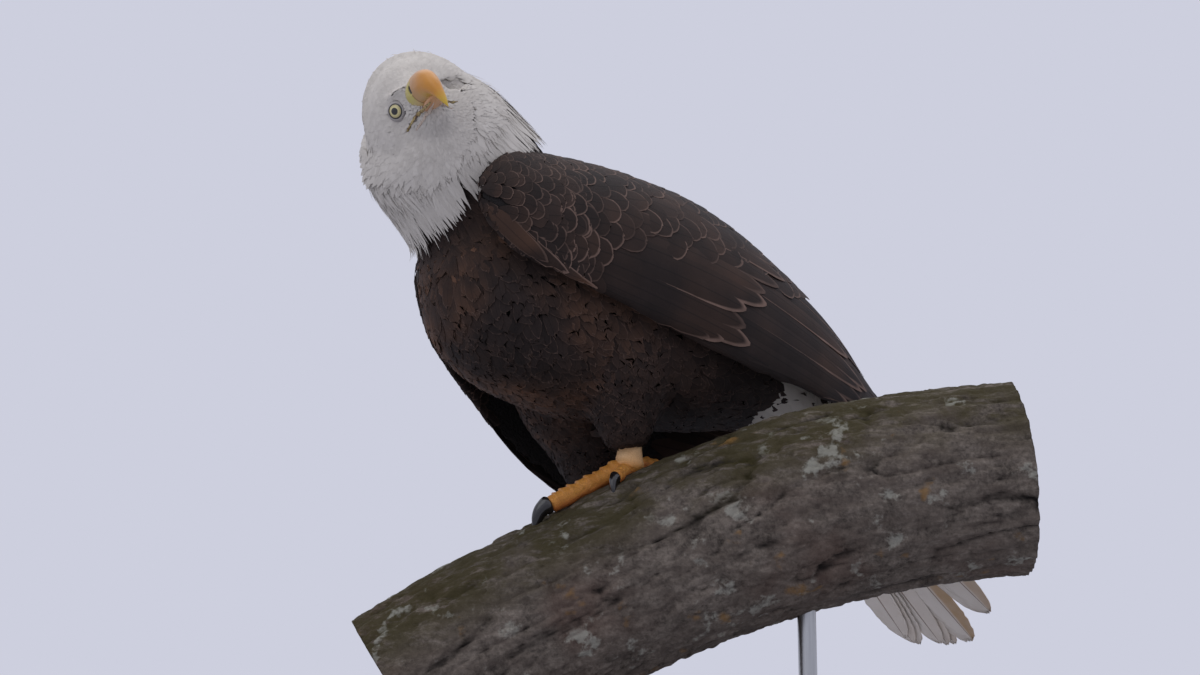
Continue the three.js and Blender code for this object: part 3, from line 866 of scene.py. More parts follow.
eye_finish = Finish("eye", Roughness=0.35, Coat_Weight=1.0, Coat_Roughness=0.03)
eye_off = eye_finish.mapped("gaze").axes()[1]
fibres = eye_finish.noise((60.0, 6.0, 1.0), 3.0, over=eye_finish.mapped("gaze"))
iris = (0.65 * fibres + eye_off.between(0.10, 0.2) * 0.5).blend((230, 220, 160), (172, 156, 96))
ringed = eye_off.between(0.186, 0.206) + eye_off.below(0.100, 0.110)
eye_material = eye_finish.wear(ringed.blend(iris, (6, 5, 5)))
lid_finish = Finish("lid_skin", Roughness=0.5)
lid_off = lid_finish.mapped("lid").axes()[1]
lid_grain = lid_finish.noise(900.0)
lid_material = lid_finish.wear(
    (lid_off.between(0.12, 0.27) * 0.9).blend((24, 20, 18), (172, 166, 162)), bump=lid_grain, depth=0.0002,
)
for side in SIDES:
    points, faces, maps = shell(eyeball(side), 64, 96)
    fixed(piece(f"eyeball_{side}", on_head(points), faces, eye_material, {"gaze": maps}), "eyes", f"eye_{side}")
    points, faces, maps = hoop(eyelid(side), 64, 36)
    fixed(piece(f"eyelid_{side}", on_head(points), faces, lid_material, {"lid": maps}), "legs")


# ---------- the bill ----------
# A deep hooked bill of horn: a waxy cere with slit nostrils at its base, orange over the ridge and
# yellow along the edges. The gape runs back from it as a fleshy line under each eye.

BILL_UPPER = [
    (10, 0, -2, 0, 0, 0), (12, 0, -2, 13, 12, 12), (18, 0, -1, 16, 15.5, 15), (28, 0, 0, 15, 16, 16),
    (38, 0, 0, 13, 15.5, 15), (47, 0, -1, 10.5, 13, 13), (55, 0, -6.5, 8, 9.5, 9.5),
    (60, 0, -14, 5.5, 6, 6.5), (63, 0, -23, 3.2, 3.4, 3.6), (64.5, 0, -32, 0, 0, 0),
]
BILL_LOWER = [
    (4, 0, -21, 0, 0, 0), (6, 0, -21, 9, 6, 5), (14, 0, -19.5, 12, 7, 6), (26, 0, -17, 10.5, 6, 5),
    (36, 0, -15, 8.5, 5.5, 4), (42, 0, -13.5, 6, 4.5, 3), (45.5, 0, -12.5, 3, 2, 2), (47, 0, -12, 0, 0, 0),
]
NOSTRIL = np.array([30.0, 14.0, 4.5])


def lattice(cells, seed):
    """An even random number from 0 to 1 for each whole-numbered cell."""
    mixed = cells.astype(np.int64) @ np.array([73856093, 19349663, 83492791]) + seed * 2654435
    mixed = (mixed ^ (mixed >> 13)) * 1274126177 & 0x7FFFFFFF
    mixed = (mixed ^ (mixed >> 15)) * 668265263 & 0x7FFFFFFF
    return (mixed ^ (mixed >> 14)) / 0x7FFFFFFF


def cloudy(points, size, seed):
    """Smooth noise from -1 to 1 with features of one size: cell corners' numbers, blended."""
    cells = np.floor(points / size)
    f = points / size - cells
    f = f * f * (3 - 2 * f)
    total = 0
    for corner in np.ndindex(2, 2, 2):
        weight = np.prod(np.where(corner, f, 1 - f), -1)
        total = total + weight * lattice(cells + corner, seed)
    return 2 * total - 1


def plates(points, size, seed):
    """Distances to the nearest and second nearest of points scattered one in each cell."""
    scaled = points / size
    cells = np.floor(scaled)
    nearest = np.full(points.shape[:-1], 9.0)
    second = nearest.copy()
    for step in np.ndindex(3, 3, 3):
        cell = cells + np.array(step) - 1
        spot = cell + np.stack([lattice(cell, seed + k) for k in range(3)], -1)
        gap = np.linalg.norm(scaled - spot, axis=-1)
        second = np.where(gap < nearest, nearest, np.minimum(second, gap))
        nearest = np.minimum(gap, nearest)
    return nearest, second


def nostril_depth(points):
    """1 in the middle of a slit that slants down and forward on each side, falling to 0 round it."""
    x, y, z = points[..., 0] - NOSTRIL[0], abs(points[..., 1]) - NOSTRIL[1], points[..., 2] - NOSTRIL[2]
    along, across = 0.35 * x - 0.94 * z, 0.94 * x + 0.35 * z
    return np.exp(-((along / 4.2) ** 4) - (across / 1.8) ** 2 - (y / 6) ** 2)


def bill_relief(u, v, points):
    """The cere stands a little proud and ends in a groove; the slits of the nostrils are sunk."""
    cere = 1 / (1 + np.exp((v - 0.365) * 120))
    groove = np.exp(-(((v - 0.375) / 0.008) ** 2))
    wear = 0.12 * cloudy(points, 5.0, 84) + 0.05 * cloudy(points, 1.6, 85)
    return wear - 0.5 * cere + 0.35 * groove + 2.6 * nostril_depth(points)


bill_finish = Finish("bill_horn", Roughness=0.36, Coat_Weight=0.25, Coat_Roughness=0.25)
bill_round, bill_along, _ = bill_finish.mapped("bill").axes()
bill_cloud = bill_finish.noise(120.0, 4.0)
ridge = (bill_round * 2 * math.pi).sine()
horn = (0.75 * bill_along.between(0.42, 0.62) + 0.5 * bill_cloud - 0.15).blend((186, 138, 88), (212, 142, 40))
horn = (bill_along.between(0.76, 0.95) * 0.95).blend(horn, (220, 184, 64))
low_edge = ridge.below(-0.75, -0.1) * bill_along.between(0.45, 0.6)
horn = (0.7 * low_edge).blend(horn, (208, 170, 68))
side_horn = ridge.below(-0.75, 0.25) * bill_along.below(0.5, 0.7) * 0.6
horn = side_horn.blend(horn, (196, 160, 104))
cere_tone = (0.8 * bill_cloud).blend((200, 188, 100), (176, 156, 80))
cere_tone = (ridge.between(0.55, 0.95) * 0.7).blend(cere_tone, (214, 150, 104))
cere_tone = (0.8 * ridge.below(-0.75, -0.15)).blend(cere_tone, (208, 176, 122))
whole_bill = bill_along.between(0.362, 0.385).blend(cere_tone, horn)
groove_line = bill_along.between(0.362, 0.374) * bill_along.below(0.376, 0.39) * ridge.below(0.3, 0.8)
whole_bill = (0.6 * groove_line).blend(whole_bill, (110, 70, 30))
# The nostril slits are painted near black: painted shade in the hollow of each slit.
bill_with_painted_nostril_shade = bill_finish.attribute("pit").between(0.12, 0.5).blend(whole_bill, (26, 16, 13))
bill_material = bill_finish.wear(bill_with_painted_nostril_shade, bump=bill_cloud, depth=0.0004, strength=0.4)
points, faces, maps = shell(lofted(BILL_UPPER), 96, 150, bill_relief)
pits = {"pit": nostril_depth(points)}
fixed(piece("bill_hook", on_head(points), faces, bill_material, {"bill": maps}, pits), "bill", "bill_upper")

jaw_finish = Finish("jaw_horn", Roughness=0.45)
jaw_along = jaw_finish.mapped("bill").axes()[1]
jaw_cloud = jaw_finish.noise(260.0, 5.0, 0.65)
jaw_tone = (0.9 * jaw_along).blend((216, 178, 150), (222, 164, 104))
jaw_material = jaw_finish.wear(
    (jaw_cloud.between(0.55, 0.68) * 0.75).blend(jaw_tone, (104, 66, 40)), bump=jaw_cloud, depth=0.0006,
)
points, faces, maps = shell(lofted(BILL_LOWER), 64, 70)
fixed(piece("bill_jaw", on_head(points), faces, jaw_material, {"bill": maps}), "bill", "bill_lower")

gape_finish = Finish("gape_skin", Roughness=0.55)
gape_cloud = gape_finish.noise(330.0, 4.0, 0.7)
gape_material = gape_finish.wear(
    gape_cloud.between(0.40, 0.60).blend((186, 166, 110), (118, 90, 62)), bump=gape_cloud, depth=0.0012,
)
jaw_side_finish = Finish("jaw_skin", Roughness=0.6)
jaw_side_cloud = jaw_side_finish.noise(200.0, 4.0)
jaw_side_material = jaw_side_finish.wear(
    jaw_side_cloud.between(0.4, 0.65).blend((196, 180, 164), (172, 146, 126)), bump=jaw_side_cloud,
    depth=0.0006,
)
GAPE = [
    (46, 6.5, -17.0), (37, 11.0, -17.5), (25, 15.5, -17.5), (13, 19.5, -19.0), (3, 24.5, -22.5), (0, 26.3, -24.3),
]
JAW_SIDE = [(45, 3.5, -18.5), (37, 7.5, -21.5), (26, 11.5, -23.0), (14, 15.5, -25.0), (6, 19.0, -27.5)]
HEAD_MIDDLE = on_head(np.array([-20.0, 0, -12]))
gape_paths = []
for side, out in SIDES.items():
    for name, marks, thick, flat, material, bumps in (
        ("gape", GAPE, 2.0, 0.42, gape_material, 0.55), ("jaw_side", JAW_SIDE, 1.9, 0.4, jaw_side_material, 0.2),
    ):
        start = np.linspace(0, 1, 24)
        path = on_head(through(np.array(marks) * [1, out, 1], start))
        near, away = settled(path, form)
        outside = ((path - near) * (near - HEAD_MIDDLE)).sum(1) > 0
        away = np.where(outside[:, None], away, -away)
        drawn = np.where((start > 0.3)[:, None], near + 0.6 * away, path)
        for _ in range(3):
            drawn[1:-1] = (drawn[:-2] + drawn[1:-1] + drawn[2:]) / 3
        girth = (thick if side == "right" else 0.55 * thick) * np.interp(
            start, [0, 0.04, 0.3, 0.7, 0.92, 1], [0, 0.4, 0.8, 1.0, 0.7, 0],
        )
        if name == "gape":
            gape_paths.append(drawn)
        points, faces, maps = shell(
            lofted(np.column_stack([drawn, girth, flat * girth, flat * girth]), away.mean(0)), 32, 110,
            lambda u, v, points: bumps * np.sin(np.pi * v) * (
                cloudy(points, 2.6, 81) + 0.8 * cloudy(points, 1.3, 82)
            ),
        )
        fixed(piece(f"{name}_{side}", points, faces, material, {"bill": maps}), "bill")


# ---------- the white head and neck ----------
# The smallest feathers start round the bill and eyes, over a bed of down, and grow towards the neck,
# where long pointed hackles hang over the dark breast in a jagged edge. Thin wisps stand off both.

white_coat = partial(
    plumage, material=white_vane_finish, onto=form, slot="white_feathers", shape="pointed", camber=0.0, roll=0.0,
    scatter=0.12, thick=0.12, soft=0.8,
)
BARE_LINE, LID_MARGIN = 1.8, 0.4
bare_lines = np.concatenate(gape_paths)[::2]
for name, first, last, step, gap, seed, bigger, deeper in (
    ("head_down", 0.95, 0.12, (2.6, 5.4), (3.2, 5.4), 71, 1.3, -0.8),
    ("face_feathers", 0.975, 0.57, (1.5, 2.8), (1.5, 2.1), 11, 1, 0),
    ("crown_feathers", 0.65, 0.12, (3.2, 5.6), (2.4, 3.6), 13, 1, 0),
):
    u, v = rows(head, first, last, step, gap, seed)
    bed = bed_of(head, on_head, u, v, -1)
    from_bill = np.linalg.norm(bed[0] - on_head(np.array([24.0, 0, -6])), axis=1)
    size = np.minimum(bigger * np.interp(from_bill, [14, 30, 55, 80, 115], [3.6, 6.5, 14, 24, 36]), 34)
    room = size.copy()
    for share in (1, 0.8, 0.6, 0.4, 0.2, 0):
        spots = bed[0] + bed[1] * (size * share)[:, None]
        bare = np.linalg.norm(spots[:, None] - bare_lines[None], axis=2).min(1) < BARE_LINE
        for side in SIDES:
            out, wide = from_eye(spots, side)
            bare |= (wide < EYE_HOLLOW[side] - LID_MARGIN) & (out > 0)
        room = np.where(bare, 0.8 * share * size, room)
    size = np.minimum(size, room)
    clear = size > 2.0
    puff = np.exp(-(((u - 0.5) / 0.16) ** 2)) * np.interp(v, [0.1, 0.3, 0.55], [1, 1, 0])
    white_coat(
        name, picked(bed, clear), size[clear],
        (bigger * np.interp(size, [4, 12, 34], [0.5, 0.46, 0.28]) * size)[clear], seed + 1,
        low=(deeper - 0.4 + 3.5 * puff)[clear], high=(deeper + 0.25 + 7 * puff)[clear],
        along=(0, 0.35, 0.7, 0.9, 1), roll=0.04, scatter=0.14, ragged=0.2, lift=4.0, thick=0.06, loose=0.12,
    )
bed = bed_of(neck, on_bird, *rows(neck, 0.985, 0.60, (6.5, 8.0), (2.8, 3.4), 21), -1)
bed = picked(bed, (np.linalg.norm(bed[0] - HEAD_MIDDLE, axis=1) > 68) & (over_collar(bed[0]) > 0))
u, v = bed[3].T
beyond = over_collar(bed[0])
white_coat(
    "hackles", bed, np.clip(beyond + 28, 32, 60) * np.interp(v, [0.7, 0.95], [1, 0.75]), 5.4, 22,
    low=np.interp(beyond, [5, 30], [0.5, -1.2]),
    high=np.interp(v, [0.6, 0.72, 0.9], [3.5, 1.5, 0.6]) + 3 * np.exp(-(((u - 0.28) / 0.14) ** 2)) * (v > 0.66),
    loose=0.3, roll=0.1, ragged=0.25, soft=0.7, along=(0, 0.25, 0.5, 0.72, 0.88, 1),
)
white_coat(
    "neck_down", picked(bed, slice(None, None, 5)), np.clip(beyond[::5] + 12, 30, 48), 17.0, 24, low=-2.4,
    high=-1.6, loose=0.2,
)
for name, surface, put, first, last, seed in (
    ("head_wisps", head, on_head, 0.55, 0.15, 61), ("neck_wisps", neck, on_bird, 0.95, 0.6, 63),
):
    bed = bed_of(surface, put, *rows(surface, first, last, (11.0, 13.0), (9.0, 9.0), seed), -1)
    clear = (np.linalg.norm(bed[0] - HEAD_MIDDLE, axis=1) > 60) & (over_collar(bed[0]) > 12)
    high = np.random.default_rng(seed + 2).uniform(0.8, 4.5, len(clear))
    white_coat(
        name, picked(bed, clear), 30.0, 1.2, seed + 1, low=-0.5, high=high[clear], scatter=0.14, soft=0.75,
        along=(0, 0.3, 0.55, 0.8, 1),
    )


# ---------- the body's dark feathers ----------
# Soft brown-black feathers cover breast, belly, back and thighs. Each is a vane rooted in the skin
# and lying back and down over the next.

def under_hackles(points, high):
    """Heights of tips that drop where the white hackles hang over them."""
    return high - 5.0 * np.clip((over_collar(points) + 70) / 30, 0, 1)


dark_coat = partial(
    plumage, material=dark_vane_finish, onto=form, scatter=0.24, ragged=0.2, fray=0.2, columns=4,
    along=BODY_ALONG, edge=0.4, camber=0.02, roll=0.2, thick=0.15, soft=0.65,
)
bed = bed_of(trunk, on_bird, *rows(trunk, 0.035, 0.80, (7.2, 10.0), (8.4, 11.0), 31))
u, v = bed[3].T
roots = settled(bed[0] + 6 * bed[2], form)[0]
spot = to_bird(roots)
fall = np.interp(spot[:, 0], [-150, 60], [0.25, 1.3]) * (spot[:, 2] < 240)
down = turned_by(on_bird, unit(np.stack([-np.ones(len(u)), 0 * fall, -fall], 1)))
near_form = np.linalg.norm(roots - bed[0], axis=1) < 12
keep = (over_collar(roots) < 0) & ((v < 0.7) | (u < 0.5)) & near_form
dark_coat(
    "body_feathers", picked((roots, down, *bed[2:]), keep), 36.0, 14.0, 32,
    low=under_hackles(roots, -3.0)[keep], high=under_hackles(roots, 0.6)[keep], edge=0.5,
    warm=np.interp(spot[:, 0], [20, 150], [0.15, 1.0])[keep],
)
bed = bed_of(neck, on_bird, *rows(neck, 0.70, 0.22, (8.0, 8.0), (7.0, 9.0), 33), -1)
bed = picked(bed, over_collar(bed[0]) < 6)
dark_coat(
    "collar_feathers", bed, 32.0, 11.0, 34, low=-5.0, high=under_hackles(bed[0], 0.5),
    warm=np.interp(over_collar(bed[0]), [-60, -15], [1, 0.2]),
)
for side in SIDES:
    u, v = rows(thighs[side], 0.12, 0.95, (8.0, 4.0), (8.0, 3.6), 35)
    size = np.interp(v, [0.3, 0.95], [32, 15])
    dark_coat(
        f"thigh_feathers_{side}", bed_of(thighs[side], on_bird, u, v), size, 0.48 * size, 36, low=-2.5,
        scatter=0.16, fray=0.16, columns=5, warm=0.15,
    )


# ---------- the wings ----------
# Small scalloped coverts over the wrist grow into the large ones, and the long flight feathers run
# on from under them to the wing's tip. Their worn rims are pale.

for side in SIDES:
    wing = wings[side]
    wing_coat = partial(
        plumage, material=dark_vane_finish, onto=wing_forms[side], lift=4.0, thick=0.12, soft=0.8, camber=0.01,
        roll=0.1, columns=5, along=COVERT_ALONG,
    )
    quills = partial(
        plumage, material=dark_vane_finish, onto=wing_forms[side], shape="strap", lift=4.0, soft=0.6, columns=5,
        along=QUILL_ALONG,
    )
    u, v = rows(wing, 0.004, 0.14, (5.0, 7.0), (6.0, 8.0), 49)
    wing_coat(
        f"wrist_down_{side}", bed_of(wing, on_bird, u, v), 22.0, 16.0, 50, low=-0.6, high=-0.2, scatter=0.2,
        ragged=0.1, camber=0.0, roll=0.0, edge=0.0, columns=3, along=(0, 0.3, 0.6, 0.8, 0.93, 1),
    )
    u, v = rows(wing, 0.006, 0.34, (5.5, 9.0), (7.0, 13.0), 41)
    size = np.interp(v, [0.006, 0.05, 0.34], [11, 14, 30])
    wing_coat(
        f"lesser_coverts_{side}", bed_of(wing, on_bird, u, v), size, 0.85 * size, 42, low=-1.0, high=0.7,
        scatter=0.12, ragged=0.08, fray=0.08, edge=np.interp(v, [0.05, 0.34], [0.9, 0.8]), warm=0.2,
    )
    u, v = rows(wing, 0.30, 0.62, (12.0, 15.0), (17.0, 22.0), 43)
    kept = v < np.interp(0.5 - 0.5 * np.cos(2 * np.pi * u), [0.3, 0.75], [0.63, 0.36])
    u, v = u[kept], v[kept]
    size = np.interp(v, [0.30, 0.58], [34, 50])
    wing_coat(
        f"greater_coverts_{side}", bed_of(wing, on_bird, u, v), size, 0.8 * size, 44, low=-1.2, high=1.0,
        ragged=0.06, fray=0.06, edge=1.0, warm=0.25,
    )
    share = np.linspace(0, 1, 11)
    v = np.concatenate([0.45 + 0.06 * (1 - share), 0.34 + 0.10 * (1 - share)])
    u = np.concatenate([np.linspace(0.20, 0.52, 11), np.linspace(0.16, 0.47, 11)])
    quills(
        f"flight_feathers_{side}", bed_of(wing, on_bird, u, v), np.append(300 - 60 * share, 250 - 70 * share), 30.0,
        46, low=-1.5, high=np.repeat([0.0, 0.8], 11), scatter=0.012, ragged=0.01, columns=7,
        along=np.append(np.linspace(0, 0.84, 13), [0.9, 0.94, 0.97, 0.99, 1]), edge=1.2, roll=0.5, warm=0.3,
    )
    u, v = rows(wing, 0.62, 0.97, (22.0, 20.0), (13.0, 8.0), 45)
    quills(
        f"inner_vanes_{side}", bed_of(wing, on_bird, u, v), np.interp(v, [0.62, 0.8, 0.97], [110, 80, 36]), 24.0,
        47, low=-2.5, high=-1.2, scatter=0.02, ragged=0.03, edge=0.3, camber=0.02, warm=0.5,
    )
    bed = bed_of(wing, on_bird, np.array([0.37, 0.375, 0.385]), np.array([0.13, 0.15, 0.17]))
    quills(
        f"alula_{side}", bed, np.array([80.0, 100.0, 120.0]), 22.0, 48, low=0.0,
        high=np.array([2.8, 2.2, 1.4]), scatter=0.0, edge=1.6, warm=1.1,
    )


# ---------- the tail ----------
# Twelve long white feathers fan out under the branch, worn buff along their outer vanes and frayed
# at the tips. White coverts cover their roots above and below.

tail_vane = Finish("tail_vane", Roughness=0.8, Specular_IOR_Level=0.15)
across_tail, _, off_quill, tail_barbs = barbed(tail_vane, 900.0, 250.0)
tail_cloud = tail_vane.noise(40.0, 4.0)
tail_tone = (0.7 * tail_cloud + 0.06 * tail_barbs).blend((246, 238, 228), (222, 210, 194))
buff = across_tail.between(0.5, 0.62) * tail_vane.attribute("buff") * (0.4 + 0.9 * tail_cloud)
tail_tone = buff.blend(tail_tone, (196, 166, 132))
quill = off_quill.below(0.024, 0.056)
tail_tone = (0.75 * quill).blend(tail_tone, (128, 96, 72))
tail_vane_finish = tail_vane.wear(tail_tone, bump=0.5 * tail_barbs + 3.0 * quill, depth=0.0001, strength=0.6)

# For each feather from the bird's right: its tip's place across, its reach, and how brown it is.
TAIL_TIPS = [
    (-70, 250, 0.1), (-66, 260, 0.2), (-60, 264, 0.1), (-30, 268, 0.1), (-22, 272, 0.2), (-13, 273, 0.3),
    (8, 272, 0.9), (15, 271, 1.0), (20, 268, 1.0), (64, 230, 0.4), (74, 232, 0.6), (80, 229, 0.8),
]
tail_down = unit(np.array([-0.7544, 0, -0.6564]))
tail_under = np.array([0.6564, 0.0, -0.7544])
tail_points, tail_faces, tail_maps, tail_bake, tail_tint = [], [], [], [], []
COLUMNS, STEPS = 17, 56
b, a = np.meshgrid(np.linspace(-1, 1, COLUMNS), np.linspace(0, 1, STEPS) ** 0.8, indexing="xy")
grid = np.arange(b.size).reshape(b.shape)
top_faces = np.stack([grid[:-1, :-1], grid[1:, :-1], grid[1:, 1:], grid[:-1, 1:]], -1).reshape(-1, 4)
edge_loop = np.concatenate([grid[0], grid[1:, -1], grid[-1, -2::-1], grid[-2:0:-1, 0]])
edge_faces = np.stack(
    [edge_loop, np.roll(edge_loop, -1), np.roll(edge_loop, -1) + grid.size, edge_loop + grid.size], -1,
)
fan_chance = np.random.default_rng(71)
for rank, (lateral, reach, brown) in enumerate(TAIL_TIPS):
    start = np.array([-212.0, 0.16 * lateral, 92.0])
    end = np.array([-270.0, lateral, 45.0]) + tail_down * reach
    spread = abs(rank - 5.5)
    way = unit(end - start)
    across = unit(np.cross(tail_under, way))
    width = np.interp(a, [0, 0.2, 0.7, 0.82, 0.9, 0.95, 0.985, 1], [7, 16, 24, 23.5, 20.5, 15.5, 8.5, 2])
    snag = fan_chance.uniform(0, 1, (STEPS, COLUMNS))
    frayed = 1 - 0.10 * snag * (abs(b) > 0.95) * np.interp(a, [0.5, 0.8], [0, 1])
    path = start + (end - start) * a[..., None] + across * (0.06 * lateral * np.sin(np.pi * a))[..., None]
    sheet = path + across * (width * b * frayed)[..., None]
    sheet = sheet + tail_under * (1.3 * spread + 1.6 * (b * b - 1) * np.interp(a, [0, 1], [1, 0.5]) - 2)[..., None]
    snip = 3.5 * snag * np.interp(a, [0.94, 1], [0, 1]) ** 2
    sheet = sheet - way * snip[..., None]
    thick = 0.25 * tail_under
    offset = 2 * grid.size * rank
    tail_points.append(np.concatenate([(sheet + thick).reshape(-1, 3), (sheet - thick).reshape(-1, 3)]))
    tail_faces.append(np.concatenate([top_faces[:, ::-1], top_faces + grid.size, edge_faces]) + offset)
    one_map = np.stack([0.5 + 0.5 * b, a], -1).reshape(-1, 2)
    tail_maps.append(np.concatenate([one_map, one_map]))
    tail_bake.append(np.concatenate([one_map, one_map]) * [0.07, 0.9] + [0.02 + 0.08 * rank, 0.05])
    tail_tint.append(np.full(2 * grid.size, brown))
fan = piece(
    "tail_feathers", on_bird(np.concatenate(tail_points)), tail_faces, tail_vane_finish,
    {"vane": np.concatenate(tail_maps), "OFBake": np.concatenate(tail_bake)}, {"buff": np.concatenate(tail_tint)},
)
fixed(fan, "white_feathers")

tail_coat = partial(
    plumage, material=white_vane_finish, onto=form, slot="white_feathers", thick=0.15, soft=0.8, columns=5,
    along=BODY_ALONG, low=-2.0,
)
bed = bed_of(trunk, on_bird, *rows(trunk, 0.69, 0.97, (9.0, 8.0), (7.0, 6.0), 73))
bed = picked(bed, (bed[3][:, 0] > 0.5) | (bed[3][:, 1] > 0.8))
bed[1] = 0.5 * bed[1] + turned_by(on_bird, tail_down)
tail_coat("tail_coverts", bed, 54.0, 15.0, 74, high=2.5, scatter=0.14, ragged=0.15, fray=0.2)
bed = bed_of(tail_stub, on_bird, *rows(tail_stub, 0.12, 0.62, (13.0, 16.0), (9.0, 10.0), 75))
tail_coat("under_tail_coverts", bed, 56.0, 16.0, 76, high=1.5, scatter=0.12, ragged=0.12, fray=0.16)

for helper in (form, *wing_forms.values()):
    bpy.data.objects.remove(helper)


# ---------- the legs and feet ----------
# Bare yellow legs with rows of horny scutes down the front of leg and toes, and black hooked claws.

# For each toe: how far it runs along the branch, its turn round it in degrees, its radius and its
# claw's length.
TOES = {
    "left": {"hind": (32, -32, 8.5, 34), "inner": (-62, -12, 8, 32), "middle": (-80, 14, 10, 38),
             "outer": (-19, 21, 7, 28)},
    "right": {"hind": (34, -24, 8.5, 34), "inner": (-54, 10, 8, 32), "middle": (-68, -8, 8.5, 32),
              "outer": (-16, -32, 7, 26)},
}


def scuted(count, height, grain):
    """Overlapping plates along the top, each rising to its front edge, over a pebbled side."""
    def relief(u, v, points):
        top = np.clip(np.sin(2 * np.pi * u) * 1.6, 0, 1)
        plate = (v * count) % 1
        pebbles = np.sin(2.1 * points[..., 0] + 5 * u) * np.sin(2.3 * points[..., 1]) * np.sin(2.2 * points[..., 2])
        ends = np.clip(8 * v * (1 - v), 0, 1)
        return -ends * (height * top * plate ** 1.6 + grain * (1 - top) * pebbles)
    return relief


def cracks(finish, scale):
    """The distance to the edge of small scales."""
    inputs = {"Vector": finish.place(), "Scale": scale}
    return finish.node("ShaderNodeTexVoronoi", {"feature": "DISTANCE_TO_EDGE"}, inputs)


foot_finish = Finish("foot_scales", Roughness=0.5, Coat_Weight=0.08, Coat_Roughness=0.4)
foot_cloud = foot_finish.noise(90.0, 4.0, 0.6)
foot_cells = cracks(foot_finish, 520.0)
foot_round = foot_finish.mapped("foot").axes()[0]
underside = (foot_round * 2 * math.pi).sine().below(-0.8, 0.1)
foot_tone = (1.1 * foot_cloud - 0.1).blend((228, 164, 72), (200, 122, 42))
foot_tone = (0.7 * underside).blend(foot_tone, (214, 112, 56))
foot_tone = (0.45 * foot_cells.below(0.0, 0.12)).blend(foot_tone, (150, 84, 34))
foot_material = foot_finish.wear(foot_tone, bump=foot_cells.between(0.0, 0.2), depth=0.0005, strength=0.7)

leg_finish = Finish("leg_scales", Roughness=0.55)
leg_cloud = leg_finish.noise(70.0, 4.0, 0.6)
leg_cells = cracks(leg_finish, 420.0)
leg_tone = (1.1 * leg_cloud - 0.1).blend((232, 196, 148), (218, 164, 104))
leg_down = leg_finish.mapped("foot").axes()[1].between(0.45, 0.85)
leg_tone = leg_down.blend(leg_tone, (222, 150, 62))
leg_tone = (0.3 * leg_cells.below(0.0, 0.1)).blend(leg_tone, (168, 112, 62))
leg_material = leg_finish.wear(leg_tone, bump=leg_cells.between(0.0, 0.2), depth=0.0003, strength=0.6)

claw_finish = Finish("claw_horn", Roughness=0.22, Coat_Weight=0.6, Coat_Roughness=0.08)
claw_cloud = claw_finish.noise(180.0, 3.0)
claw_along = claw_finish.mapped("foot").axes()[1]
claw_material = claw_finish.wear(
    (claw_along.below(0.0, 0.3) * 0.6 + 0.25 * claw_cloud).blend((10, 10, 13), (52, 46, 44)),
    bump=claw_cloud, depth=0.0003, strength=0.3,
)


def limb(name, node, slot, material, surface, around, along, relief, put=lambda points: points):
    """A closed piece over a surface, with its scales as relief."""
    points, faces, maps = shell(surface, around, along, relief)
    fixed(piece(name, put(points), faces, material, {"foot": maps}), slot, node)


for side, toes in TOES.items():
    x, y, z = balls[side]
    tarsus = lofted([
        (x, y, z + 33, 0, 0, 0), (x, y, z + 30, 12, 12, 12), (x, y, z + 16, 11.5, 12, 12),
        (x, y, z + 5, 12.5, 14, 13), (x, y, z - 3, 14, 17, 14), (x, y, z - 9, 10, 12, 10), (x, y, z - 12, 0, 0, 0),
    ], (1, 0, 0))
    limb(f"leg_{side}", f"tarsus_{side}", "legs", leg_material, tarsus, 48, 70, scuted(8, 0.7, 0.25), on_bird)
    along_foot, round_foot = FEET[side]
    for toe, (far, turn, radius, claw) in toes.items():
        def beside(share, height):
            """A point over the bark, a share of the way from the ball of the foot to the toe's end."""
            return over_branch(along_foot + share * far, round_foot + share * turn, height)

        steps = np.array([0.04, 0.125, 0.25, 0.375, 0.5, 0.625, 0.75, 0.86, 0.95, 1.0])
        centres = beside(steps, 0.88 * radius)
        girth = radius * np.array([0, 1.05, 0.98, 0.84, 0.92, 0.78, 0.9, 0.84, 0.76, 0])
        end = beside(1, 0.95 * radius)
        rise = unit(end - beside(1, 0))
        path = unit(end - beside(0.9, 0.95 * radius))
        digit = lofted(np.column_stack([centres, girth, girth, girth]), rise)
        scutes = scuted(max(5, round(abs(far) / 7)), 1.9, 0.5)
        limb(f"{toe}_toe_{side}", f"toe_{side}_{toe}", "toes", foot_material, digit, 48, 130, scutes)
        share = np.array([0, 0.06, 0.2, 0.4, 0.6, 0.8, 0.94, 1])
        hook = 1.8 * share
        thick = np.where((share == 0) | (share == 1), 0, radius * 0.92 * (1 - share) ** 0.75)
        forward = claw / 1.8 * np.sin(hook) - 1
        upward = claw / 1.8 * (np.cos(hook) - 1) + 1
        curve = end + path * forward[:, None] + rise * upward[:, None]
        curve[:2] -= np.outer([6, 3], path)
        hooked = lofted(np.column_stack([curve, 0.8 * thick, thick, thick]), np.cross(np.cross(path, rise), path))
        limb(f"{toe}_claw_{side}", f"claw_{side}_{toe}", "claws", claw_material, hooked, 32, 60, 0.0)


# ---------- the branch ----------
# A cut length of thick branch. Its bark is split into plates by deep cracks and carries moss and
# lichen along the top; its sawn ends show the rings.

